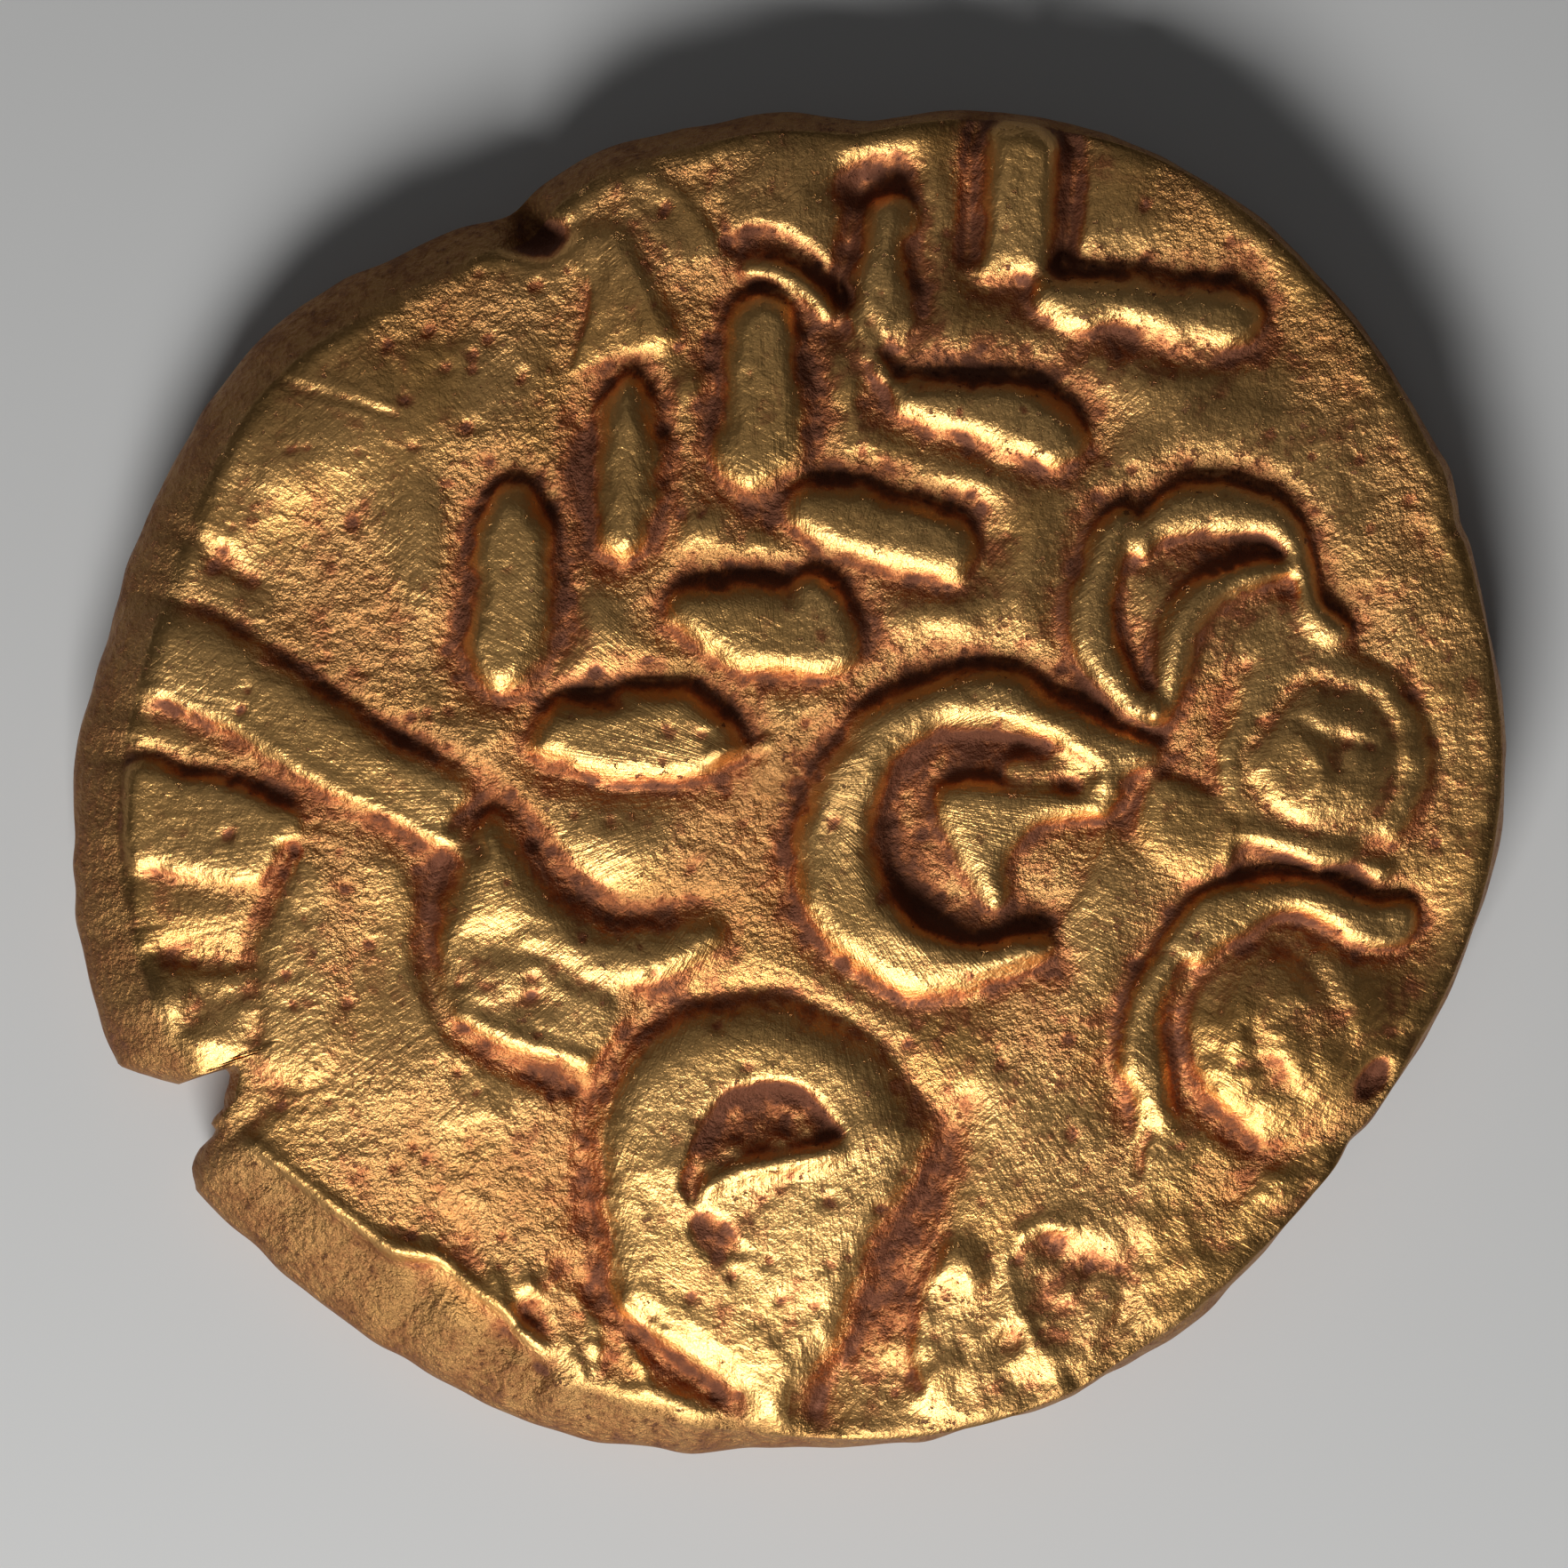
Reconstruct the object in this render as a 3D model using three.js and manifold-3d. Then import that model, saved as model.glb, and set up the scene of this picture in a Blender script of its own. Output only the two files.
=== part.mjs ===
// A struck gold coin of the late Iron Age, lying on its reverse.
// One piece of metal: an uneven, slightly dished flan with a raised wreath of two columns of leaves,
// crescents, a ringed pellet and a bent ridge on the crowned obverse, and plainer bars, a crescent and
// pellets on the hollow reverse. Millimetres, +Z up, origin under the middle of the outline on the
// plane that the reverse rests on.
import * as THREE from "three";
import { mergeVertices } from "three/addons/utils/BufferGeometryUtils.js";
import Module from "manifold-3d";

const wasm = await Module();
wasm.setup();

// ---------------------------------------------------------------- driving dimensions
const MEAN_RADIUS = 8.963; // of the outline, with its waves [count round the edge, height, crest angle in degrees]
const OUTLINE_WAVES = [
  [1, 0.064, 32.4],
  [2, 0.424, 48.9],
  [3, 0.1225, 147.4],
  [4, 0.038, -174],
  [5, 0.057, -33.7],
  [6, 0.0075, 35.2],
  [7, 0.064, -44.4],
  [8, 0.033, 103.6],
  [9, 0.0275, -169.5],
  [10, 0.034, -40.3],
];
const RIM_DENT = { angle: 116, half: 4.5, depth: 0.16 }; // a shallow dent in the upper edge
const SHOULDER_INSET = 0.4; // how far the edge rounds over before the obverse begins, with its waves
const SHOULDER_WAVES = [
  [1, 0.387, -169],
  [2, 0.124, 58],
  [3, 0.095, -28],
  [4, 0.068, -177],
];
const SHOULDER_LEAST = 0.12;
const SHOULDER_Z = 1.5; // obverse height at the shoulder
const CROWN = 0.6; // how much higher the obverse field is in the middle
const BELLY_Z = 0.85; // height of the widest line of the edge
const FOOT_INSET = 0.42; // how far the edge rounds under before the resting land
const LAND_INNER = 0.78; // resting land on the reverse, as shares of the foot's radius
const DISH = 0.32; // depth of the hollow reverse
const SEGMENTS = 86; // round the outline
const CORE_Z = 0.9; // relief solids are rooted this deep in the flan

const LEAF_HEIGHT = 0.32;
const LEAVES = [
  // centre x, y, length, width, angle of the long axis
  [-3.55, 2.42, 2.39, 0.78, 88],
  [-2.03, 3.91, 2.3, 0.67, 91],
  [-0.34, 4.99, 2.36, 0.8, 88],
  [1.22, 6.53, 1.9, 0.55, 80],
  [3.0, 7.38, 1.8, 0.78, 83],
  [-1.88, 0.59, 2.48, 0.92, 3],
  [-0.33, 1.93, 2.28, 0.92, -7],
  [1.2, 3.2, 2.3, 0.9, -12],
  [2.56, 4.57, 2.28, 0.9, -16],
  [4.88, 5.96, 2.47, 0.74, -11],
];

const CRESCENTS = [
  // centre x, y, mid radius, start angle, sweep, widest width, height
  [2.25, -0.66, 1.68, 60, 250, 0.66, 0.3],
  [-0.32, -4.97, 1.56, -28, 236, 0.95, 0.34],
  [6.43, -3.33, 1.9, 42, 172, 0.42, 0.3],
  [6.86, 0.39, 1.14, 78, 130, 0.22, 0.14],
];

const DOMES = [
  // centre x, y, radius along x, radius along y, height
  [6.92, 0.39, 0.98, 0.98, 0.34],
  [6.38, -3.42, 1.25, 1.0, 0.24],
  [3.44, -6.41, 0.82, 0.78, 0.16],
  [2.03, -7.01, 0.42, 0.5, 0.16],
  [-2.55, -0.78, 0.5, 0.42, 0.12],
];

const RIDGES = [
  // quadratic curve: start, control, end; widths at start, middle, end; height
  [[-8.21, 1.63], [-6.22, 0.63], [-4.19, -0.37], 0.8, 0.84, 0.66, 0.26], // straight band on the left
  [[-4.2, -1.4], [-2.7, -3.0], [-0.98, -1.75], 0.4, 0.56, 0.3, 0.26], // hooked band
  [[-6.22, -1.09], [-6.9, -1.9], [-6.45, -3.1], 0.3, 0.36, 0.3, 0.2], // short ridge
  [[4.33, 3.39], [3.3, 2.19], [4.44, 0.86], 0.44, 0.48, 0.4, 0.3], // bent ridge, left arm
  [[4.3, 3.36], [6.0, 4.2], [6.63, 2.5], 0.44, 0.46, 0.3, 0.3], // bent ridge, top
  [[6.6, 2.55], [6.68, 2.15], [7.05, 1.9], 0.3, 0.26, 0.2, 0.22], // bent ridge, tail
  [[6.38, 2.76], [4.7, 2.7], [4.67, 0.63], 0.4, 0.46, 0.3, 0.26], // bent ridge, inner arm
  [[3.98, -0.28], [2.9, -0.2], [2.55, -1.3], 0.3, 0.5, 0.2, 0.24], // beak in the first crescent
  [[-0.02, -5.5], [0.1, -6.6], [-0.16, -8.05], 2.0, 1.5, 0.3, 0.22], // plate under the arch
  [[-0.47, 6.5], [0.35, 6.4], [0.95, 5.69], 0.2, 0.24, 0.2, 0.16], // thin ridge between two leaves
  [[-2.6, 7.2], [-1.8, 6.9], [-1.2, 5.75], 0.34, 0.42, 0.3, 0.2], // raised lip of the upper plate
  [[-6.68, -4.8], [-5.2, -5.9], [-3.38, -6.97], 0.2, 0.26, 0.2, 0.12], // fold along the lower left rim
];

const PLATE_HEIGHT = 0.2; // smooth plates of the left side, each an outline of a few corners
const PLATES = [
  [
    [-6.4, 5.0],
    [-4.4, 6.2],
    [-2.4, 6.9],
    [-1.4, 5.6],
    [-2.9, 4.9],
    [-4.2, 2.8],
    [-4.2, 0.8],
    [-6.1, 1.5],
    [-7.8, 2.3],
  ],
  [
    [-8.2, 0.2],
    [-6.3, -0.35],
    [-6.6, -1.1],
    [-8.1, -1.0],
  ],
  [
    [-4.3, -1.0],
    [-4.35, -2.3],
    [-4.1, -3.05],
    [-2.55, -3.65],
    [-2.3, -2.5],
  ],
];

const CUT_DEPTH = 0.16; // grooves are sunk this far into the field
const GROOVES = [
  [[-8.05, 2.16], [-6.1, 1.2], [-4.1, 0.1], 0.2, 0.28, 0.3], // above the straight band
  [[-4.1, 0.1], [-3.1, -0.9], [-2.3, -1.85], 0.3, 0.36, 0.36], // its bend
  [[-8.5, 0.76], [-7.2, 0.3], [-5.5, -0.66], 0.2, 0.26, 0.2], // below the straight band
  [[3.2, 6.5], [4.6, 6.6], [6.3, 5.98], 0.2, 0.3, 0.2], // above the last leaf
];
const HALF_MOON = { x: -0.29, y: -4.83, r: 1.02, cut: 13, depth: 0.34 }; // recess in the arch
const EDGE_BITE = [
  // corners of the piece broken out of the edge
  [-8.9, -3.75],
  [-7.75, -3.8],
  [-7.03, -3.58],
  [-7.09, -4.07],
  [-7.35, -4.36],
  [-7.62, -4.95],
  [-8.6, -5.3],
];

const BACK_HEIGHT = 0.16; // relief on the reverse, inside its hollow
const BACK_LEAST = 0.035; // that relief stays this far above the resting plane
const BACK_RIDGES = [
  // the same form as RIDGES, seen from above
  [[-3.4, 0.8], [-0.6, 2.6], [2.9, 0.9], 0.5, 1.1, 0.5],
  [[2.6, 1.1], [3.9, 2.2], [3.4, 3.9], 0.5, 0.5, 0.36],
  [[-2.9, 0.6], [-3.9, -0.8], [-3.2, -2.7], 0.36, 0.3, 0.24],
  [[-1.9, 1.0], [-1.9, -0.9], [-1.2, -2.9], 0.36, 0.3, 0.24],
  [[2.3, 0.8], [2.2, -0.9], [3.0, -2.7], 0.36, 0.3, 0.24],
  [[-4.6, -3.4], [0, -4.6], [4.4, -3.3], 0.26, 0.34, 0.26],
];
const BACK_DOMES = [
  [0.3, -1.3, 0.62, 0.62],
  [-0.4, 3.9, 0.5, 0.5],
  [-3.5, 2.7, 0.42, 0.42],
];

// ---------------------------------------------------------------- the flan
const rad = THREE.MathUtils.degToRad;
const waves = (base, list, angle) =>
  list.reduce((sum, [k, h, at]) => sum + h * Math.cos(k * angle - rad(at)), base);

function outline(angle) {
  const turn = THREE.MathUtils.euclideanModulo(THREE.MathUtils.radToDeg(angle) - RIM_DENT.angle + 180, 360) - 180;
  const dent = RIM_DENT.depth * Math.exp(-((turn / RIM_DENT.half) ** 2));
  return waves(MEAN_RADIUS, OUTLINE_WAVES, angle) - dent;
}
const shoulder = (angle) =>
  outline(angle) - Math.max(SHOULDER_LEAST, waves(SHOULDER_INSET, SHOULDER_WAVES, angle));
const foot = (angle) => outline(angle) - FOOT_INSET;

// Height of the obverse field, and of the hollow reverse, over a point of the plan.
function field(x, y) {
  const share = Math.hypot(x, y) / shoulder(Math.atan2(y, x));
  return SHOULDER_Z + CROWN * (1 - Math.min(1.1, share) ** 2);
}
function hollow(x, y) {
  const share = Math.hypot(x, y) / (LAND_INNER * foot(Math.atan2(y, x)));
  return share >= 1 ? 0 : DISH * (1 - share * share);
}

// Rings of the flan from the middle of the reverse, round the edge, to the middle of the obverse.
const rings = [];
for (const share of [0, 0.25, 0.5, 0.75]) rings.push((a) => ({ r: share * LAND_INNER * foot(a), under: true }));
rings.push((a) => ({ r: LAND_INNER * foot(a), z: 0 }));
rings.push((a) => ({ r: foot(a), z: 0 }));
for (const turn of [30, 60, 90])
  rings.push((a) => ({
    r: foot(a) + (outline(a) - foot(a)) * Math.sin(rad(turn)),
    z: BELLY_Z * (1 - Math.cos(rad(turn))),
  }));
for (const turn of [28, 55, 90])
  rings.push((a) => ({
    r: shoulder(a) + (outline(a) - shoulder(a)) * Math.cos(rad(turn)),
    z: BELLY_Z + (SHOULDER_Z - BELLY_Z) * Math.sin(rad(turn)),
  }));
for (const share of [0.94, 0.86, 0.74, 0.6, 0.44, 0.26, 0]) rings.push((a) => ({ r: share * shoulder(a), over: true }));

function flanGeometry() {
  const profile = rings.map((_, i) => new THREE.Vector2(i === 0 || i === rings.length - 1 ? 0 : 1, i));
  const lathe = new THREE.LatheGeometry(profile, SEGMENTS);
  const place = lathe.getAttribute("position");
  for (let i = 0; i < place.count; i++) {
    const angle = Math.atan2(place.getX(i), place.getZ(i));
    const ring = rings[Math.round(place.getY(i))](angle);
    const x = ring.r * Math.cos(angle);
    const y = ring.r * Math.sin(angle);
    const z = ring.over ? field(x, y) : ring.under ? hollow(x, y) : ring.z;
    place.setXYZ(i, x, y, z);
  }
  return lathe;
}

// ---------------------------------------------------------------- solids of the relief
// A closed mesh with shared vertices as a solid, turned the right way out.
function solid(geometry) {
  geometry.deleteAttribute("normal");
  geometry.deleteAttribute("uv");
  const merged = mergeVertices(geometry, 1e-4);
  const index = [];
  const source = merged.index.array;
  for (let i = 0; i < source.length; i += 3) {
    const [a, b, c] = [source[i], source[i + 1], source[i + 2]];
    if (a !== b && b !== c && c !== a) index.push(a, b, c);
  }
  const make = (triVerts) =>
    new wasm.Manifold(
      new wasm.Mesh({ numProp: 3, vertProperties: merged.attributes.position.array, triVerts: new Uint32Array(triVerts) }),
    );
  const first = make(index);
  if (first.volume() > 0) return first;
  return make(index.flatMap((_, i) => (i % 3 ? [] : [index[i], index[i + 2], index[i + 1]])));
}

// A bar bent along a plan curve: half(u) is its half width, top and bottom are heights over the plan.
function bar(curve, half, top, bottom, steps, across = 4) {
  const box = new THREE.BoxGeometry(1, 1, 1, steps, across, 1);
  const place = box.getAttribute("position");
  for (let i = 0; i < place.count; i++) {
    const u = THREE.MathUtils.clamp(place.getX(i) + 0.5, 0, 1);
    const v = place.getY(i) * 2;
    const at = curve.getPoint(u);
    const along = curve.getTangent(u);
    const x = at.x - along.y * v * half(u);
    const y = at.y + along.x * v * half(u);
    place.setXYZ(i, x, y, place.getZ(i) > 0 ? top(x, y, u, v) : bottom(x, y, u, v));
  }
  return solid(box);
}

const raised = (height) => (x, y, u, v) => field(x, y) + height * (1 - 0.4 * v ** 4);
const core = () => CORE_Z;
const line = (ax, ay, bx, by) => new THREE.LineCurve(new THREE.Vector2(ax, ay), new THREE.Vector2(bx, by));
const bend = ([a, b, c]) =>
  new THREE.QuadraticBezierCurve(new THREE.Vector2(...a), new THREE.Vector2(...b), new THREE.Vector2(...c));
const widths = (a, b, c) => (u) => 0.5 * (u < 0.5 ? a + (b - a) * 2 * u : b + (c - b) * (2 * u - 1));

function leaf([x, y, length, width, angle]) {
  const dx = 0.5 * length * Math.cos(rad(angle));
  const dy = 0.5 * length * Math.sin(rad(angle));
  const swell = (u) => 0.5 * width * Math.max(0.3, (1 - Math.abs(2 * u - 1) ** 3) ** 0.6);
  return bar(line(x - dx, y - dy, x + dx, y + dy), swell, raised(LEAF_HEIGHT), core, 10);
}

function crescent([x, y, radius, start, sweep, width, height]) {
  const arc = new THREE.EllipseCurve(x, y, radius, radius, rad(start), rad(start + sweep), false, 0);
  const swell = (u) => 0.5 * width * (0.4 + 0.6 * Math.sin(Math.PI * u));
  return bar(arc, swell, raised(height), core, 18);
}

function dome([x, y, rx, ry, height]) {
  const ball = new THREE.SphereGeometry(1, 20, 8);
  const place = ball.getAttribute("position");
  for (let i = 0; i < place.count; i++) {
    const [px, py, pz] = [x + rx * place.getX(i), y + ry * place.getZ(i), place.getY(i)];
    place.setXYZ(i, px, py, pz > 0 ? field(px, py) - 0.05 + (height + 0.05) * pz : field(px, py) - 0.05 + 0.5 * pz);
  }
  return solid(ball);
}

// A flat plate of a plan outline between two heights over the plan.
function slab(corners, top, bottom) {
  const plate = new THREE.ExtrudeGeometry(new THREE.Shape(corners.map((c) => new THREE.Vector2(...c))), {
    depth: 1,
    bevelEnabled: false,
    curveSegments: 1,
  });
  const place = plate.getAttribute("position");
  for (let i = 0; i < place.count; i++) {
    const [x, y] = [place.getX(i), place.getY(i)];
    place.setZ(i, place.getZ(i) > 0.5 ? top(x, y) : bottom(x, y));
  }
  return solid(plate);
}

// ---------------------------------------------------------------- the coin
let coin = solid(flanGeometry());

for (const corners of PLATES) coin = coin.add(slab(corners, (x, y) => field(x, y) + PLATE_HEIGHT, core));
for (const item of GROOVES)
  coin = coin.subtract(
    bar(bend(item), widths(...item.slice(3)), (x, y) => field(x, y) + 1, (x, y) => field(x, y) - CUT_DEPTH, 8, 2),
  );
for (const item of LEAVES) coin = coin.add(leaf(item));
for (const item of CRESCENTS) coin = coin.add(crescent(item));
for (const item of DOMES) coin = coin.add(dome(item));
for (const item of RIDGES) coin = coin.add(bar(bend(item), widths(...item.slice(3, 6)), raised(item[6]), core, 8, 3));

// The half moon recess: an arc closed by a slanting chord.
const moon = [];
for (let turn = HALF_MOON.cut - 20; turn <= HALF_MOON.cut + 200; turn += 20)
  moon.push([HALF_MOON.x + HALF_MOON.r * Math.cos(rad(turn)), HALF_MOON.y + HALF_MOON.r * Math.sin(rad(turn))]);
coin = coin.subtract(slab(moon, (x, y) => field(x, y) + 1, (x, y) => field(x, y) - HALF_MOON.depth + 0.2));

// Relief of the reverse stands down into the hollow and stays above the resting plane.
const sunk = (x, y, u, v) => Math.max(BACK_LEAST, hollow(x, y) - BACK_HEIGHT * (1 - 0.4 * v ** 4));
for (const item of BACK_RIDGES) coin = coin.add(bar(bend(item), widths(...item.slice(3)), core, sunk, 8));
for (const [x, y, rx, ry] of BACK_DOMES) {
  const ball = new THREE.SphereGeometry(1, 16, 8);
  const place = ball.getAttribute("position");
  for (let i = 0; i < place.count; i++) {
    const [px, py, pz] = [x + rx * place.getX(i), y + ry * place.getZ(i), place.getY(i)];
    place.setXYZ(i, px, py, Math.max(BACK_LEAST, hollow(px, py) + 0.06 + (BACK_HEIGHT + 0.06) * pz));
  }
  coin = coin.add(solid(ball));
}

// The bite goes right through the edge.
coin = coin.subtract(slab(EDGE_BITE, () => 4, () => -1));
coin = coin.simplify(0.002);

const mesh = coin.getMesh();
const geometry = new THREE.BufferGeometry();
geometry.setAttribute("position", new THREE.BufferAttribute(mesh.vertProperties, 3));
geometry.setIndex(new THREE.BufferAttribute(mesh.triVerts, 1));
geometry.computeVertexNormals();

const gold = new THREE.MeshStandardMaterial({ color: 0xb8893f, metalness: 1, roughness: 0.36 });
const body = new THREE.Mesh(geometry, gold);
body.name = "coin";

const part = new THREE.Group();
part.add(body);

export default part;
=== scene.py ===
import math

import bpy
import numpy as np
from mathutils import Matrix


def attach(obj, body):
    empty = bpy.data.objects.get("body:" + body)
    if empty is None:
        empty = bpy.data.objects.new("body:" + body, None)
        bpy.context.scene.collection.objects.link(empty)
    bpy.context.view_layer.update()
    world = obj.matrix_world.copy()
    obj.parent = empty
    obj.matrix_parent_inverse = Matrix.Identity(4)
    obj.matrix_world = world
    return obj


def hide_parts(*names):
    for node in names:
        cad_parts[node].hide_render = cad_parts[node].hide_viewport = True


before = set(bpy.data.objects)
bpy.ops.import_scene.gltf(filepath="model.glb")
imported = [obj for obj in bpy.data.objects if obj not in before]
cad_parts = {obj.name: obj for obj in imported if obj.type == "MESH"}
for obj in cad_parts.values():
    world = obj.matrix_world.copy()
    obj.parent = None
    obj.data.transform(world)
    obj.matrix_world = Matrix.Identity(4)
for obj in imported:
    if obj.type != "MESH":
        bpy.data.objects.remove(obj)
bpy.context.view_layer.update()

# ---------------------------------------------------------------- drawing grid
# The face is drawn on a plan grid: u to the right, v down, UNIT mm a step, the coin's middle at (CU, CV).
UNIT = 0.0115
CU, CV = 885.5, 880.0
STEP = 1.5
U0, U1, V0, V1 = 60.0, 1712.0, 104.0, 1656.0
NU = int((U1 - U0) / STEP) + 1
NV = int((V1 - V0) / STEP) + 1
UU, VV = np.meshgrid(U0 + STEP * np.arange(NU), V0 + STEP * np.arange(NV))
UU = UU.astype(np.float32)
VV = VV.astype(np.float32)


def smooth(t):
    t = np.clip(t, 0.0, 1.0)
    return t * t * (3.0 - 2.0 * t)


def spline(points, closed=False, steps=5):
    """A Catmull-Rom curve through the points; a further column, such as a width, is carried along."""
    p = np.array(points, float)
    q = np.vstack([p[-1:], p, p[:2]]) if closed else np.vstack([2 * p[:1] - p[1:2], p, 2 * p[-1:] - p[-2:-1]])
    t = np.linspace(0, 1, steps, endpoint=False)[:, None]
    out = [
        0.5 * (2 * b + (c - a) * t + (2 * a - 5 * b + 4 * c - d) * t**2 + (3 * b - a - 3 * c + d) * t**3)
        for a, b, c, d in zip(q[:-3], q[1:-2], q[2:-1], q[3:])
    ]
    out = np.vstack(out)
    return out if closed else np.vstack([out, p[-1:]])


def window(points, reach):
    lo = points[:, :2].min(0) - reach
    hi = points[:, :2].max(0) + reach
    i0, i1 = max(0, int((lo[1] - V0) / STEP)), min(NV, int((hi[1] - V0) / STEP) + 2)
    j0, j1 = max(0, int((lo[0] - U0) / STEP)), min(NU, int((hi[0] - U0) / STEP) + 2)
    return slice(i0, i1), slice(j0, j1)


def nearest(w, line, more=True):
    """Distance to a line of points, and with more: place along it from 0 to 1, side (positive to the right), third column."""
    x, y = UU[w], VV[w]
    best = np.full(x.shape, 1e9, np.float32)
    place, side, extra = (np.zeros_like(best) for _ in range(3))
    seg = np.hypot(np.diff(line[:, 0]), np.diff(line[:, 1]))
    run = np.concatenate([[0], np.cumsum(seg)])
    for k in range(len(line) - 1):
        ax, ay = float(line[k, 0]), float(line[k, 1])
        dx, dy = float(line[k + 1, 0]) - ax, float(line[k + 1, 1]) - ay
        px, py = x - ax, y - ay
        t = np.clip((px * dx + py * dy) * (1.0 / (dx * dx + dy * dy + 1e-9)), 0, 1)
        d = (px - t * dx) ** 2 + (py - t * dy) ** 2
        if not more:
            np.minimum(best, d, out=best)
            continue
        m = d < best
        best = np.where(m, d, best)
        place = np.where(m, (float(run[k]) + t * float(seg[k])) * float(1 / run[-1]), place)
        side = np.where(m, dx * py - dy * px, side)
        if line.shape[1] > 2:
            extra = np.where(m, float(line[k, 2]) + t * float(line[k + 1, 2] - line[k, 2]), extra)
    return np.sqrt(best), place, np.sign(side), extra


def inside(w, ring):
    x, y = UU[w], VV[w]
    odd = np.zeros(x.shape, bool)
    for (ax, ay), (bx, by) in zip(ring[:, :2], np.roll(ring[:, :2], -1, 0)):
        if ay != by:
            odd ^= ((y < float(ay)) != (y < float(by))) & (x < float((bx - ax) / (by - ay)) * (y - float(ay)) + float(ax))
    return odd


def signed(points, reach, steps=4):
    """Window and signed distance (positive inside) of a closed smooth outline."""
    ring = spline(points, True, steps)
    w = window(ring, reach)
    d = nearest(w, np.vstack([ring, ring[:1]]), False)[0]
    return w, np.where(inside(w, ring), d, -d)


FX = np.fft.rfftfreq(NU)[None, :]
FY = np.fft.fftfreq(NV)[:, None]


def blur(a, sigma, sigma_v=None, turn=0.0):
    """Gaussian blur in grid steps; with a second sigma it is stretched along a direction turned from u."""
    s1 = sigma / STEP
    s2 = (sigma if sigma_v is None else sigma_v) / STEP
    c, s = math.cos(math.radians(turn)), math.sin(math.radians(turn))
    e = (FX * c + FY * s) ** 2 * s1**2 + (-FX * s + FY * c) ** 2 * s2**2
    return np.fft.irfft2(np.fft.rfft2(a) * np.exp(-2 * np.pi**2 * e), (NV, NU)).astype(np.float32)


def noise(size, seed, size_v=None, turn=0.0):
    """Soft random field of unit spread; size is its grain in grid steps."""
    n = blur(np.random.default_rng(seed).standard_normal((NV, NU)), size, size_v, turn)
    return n / n.std()


# ---------------------------------------------------------------- outline of the flan, mm
MEAN_RADIUS = 8.963
OUTLINE_WAVES = (
    (1, 0.0643, 32.4), (2, 0.4239, 48.9), (3, 0.1225, 147.4), (4, 0.0383, -174.0), (5, 0.0573, -33.7),
    (6, 0.0075, 35.2), (7, 0.0639, -44.4), (8, 0.0334, 103.6), (9, 0.0275, -169.5), (10, 0.0338, -40.3),
)
# dents and bumps of the edge: angle, half width in degrees, height
OUTLINE_MARKS = (
    (116.0, 3.2, -0.17), (84.0, 3.0, -0.08), (106.5, 3.0, 0.05), (74.5, 4.0, 0.07), (92.0, 3.0, 0.05),
    (301.0, 4.0, -0.03), (327.5, 1.6, -0.07), (25.5, 1.6, 0.05), (21.0, 1.3, -0.05), (262.0, 3.0, 0.03),
)
SHOULDER_INSET = 0.398
SHOULDER_WAVES = ((1, 0.387, -169.0), (2, 0.124, 58.0), (3, 0.095, -28.0), (4, 0.068, -177.0), (5, 0.040, 100.0))
# the bite in the lower left edge: angle and radius of its corners, radius in grid steps
BITE = (
    (202.6, 822), (203.6, 806), (204.6, 786), (205.6, 769), (206.5, 753), (206.9, 700), (207.6, 696), (208.3, 700),
    (209.2, 711), (210.0, 717), (210.5, 741), (211.5, 743), (212.0, 773), (212.8, 788), (213.6, 798), (214.6, 806),
)
SHOULDER_Z, CROWN, BELLY_Z = 1.50, 0.60, 0.85
DISH, FOOT_INSET, LAND_INNER = 0.32, 0.42, 0.78


def waves(base, table, a):
    for k, h, at in table:
        base = base + h * np.cos(k * a - math.radians(at))
    return base


def swing(a, at):
    return (np.degrees(a) - at + 180.0) % 360.0 - 180.0


def rim(a):
    r = waves(MEAN_RADIUS, OUTLINE_WAVES, a)
    for at, half, h in OUTLINE_MARKS:
        r = r + h * np.exp(-((swing(a, at) / half) ** 2))
    return r


def bitten(a):
    """The rim with the bite taken out."""
    deg = np.degrees(a) % 360.0
    at, r = np.array(BITE, float).T
    cut = np.interp(deg, at, r * UNIT)
    return np.where((deg > at[0]) & (deg < at[-1]), np.minimum(rim(a), cut), rim(a))


def shoulder(a):
    return rim(a) - np.maximum(0.10, waves(SHOULDER_INSET, SHOULDER_WAVES, a))


XX = (UU - CU) * UNIT
YY = (CV - VV) * UNIT
AA = np.arctan2(YY, XX)
RR = np.hypot(XX, YY)
SHARE = RR / shoulder(AA)
BASE = SHOULDER_Z + CROWN * (1.0 - np.minimum(1.15, SHARE) ** 2.4)

# ---------------------------------------------------------------- tools of the relief; heights in mm over the crowned field
Z = np.zeros_like(UU)
TOPS = np.zeros_like(UU)  # 1 on struck tops, which are smoother and cleaner than the field
MOAT = np.zeros_like(UU)
WARP = 1.9 * noise(18, 1) + 0.6 * noise(7, 2)  # wander of the outlines, in grid steps


def plate(points, level, wall=16.0, round_=22.0, tilt=(0.0, 0.0), tops=1.0, power=2.4, dome=0.0, steps=4, warp=1.0):
    """A struck area: steep at its foot, rounding over into a nearly flat top; its wall falls outwards from the outline."""
    w, sd = signed(points, wall + 12, steps)
    sd = sd + warp * WARP[w]
    s = 1.0 - (1.0 - np.clip((sd + wall) / (wall + round_), 0, 1)) ** power
    c = np.array(points, float)[:, :2].mean(0)
    top = level + tilt[0] * (UU[w] - c[0]) / 100.0 + tilt[1] * (VV[w] - c[1]) / 100.0
    if dome:
        top = top + dome * (1 - np.exp(-np.maximum(sd, 0) / 20.0))
    Z[w] += (top - Z[w]) * s
    TOPS[w] += (tops - TOPS[w]) * smooth((sd + 4) / 9.0)


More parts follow.
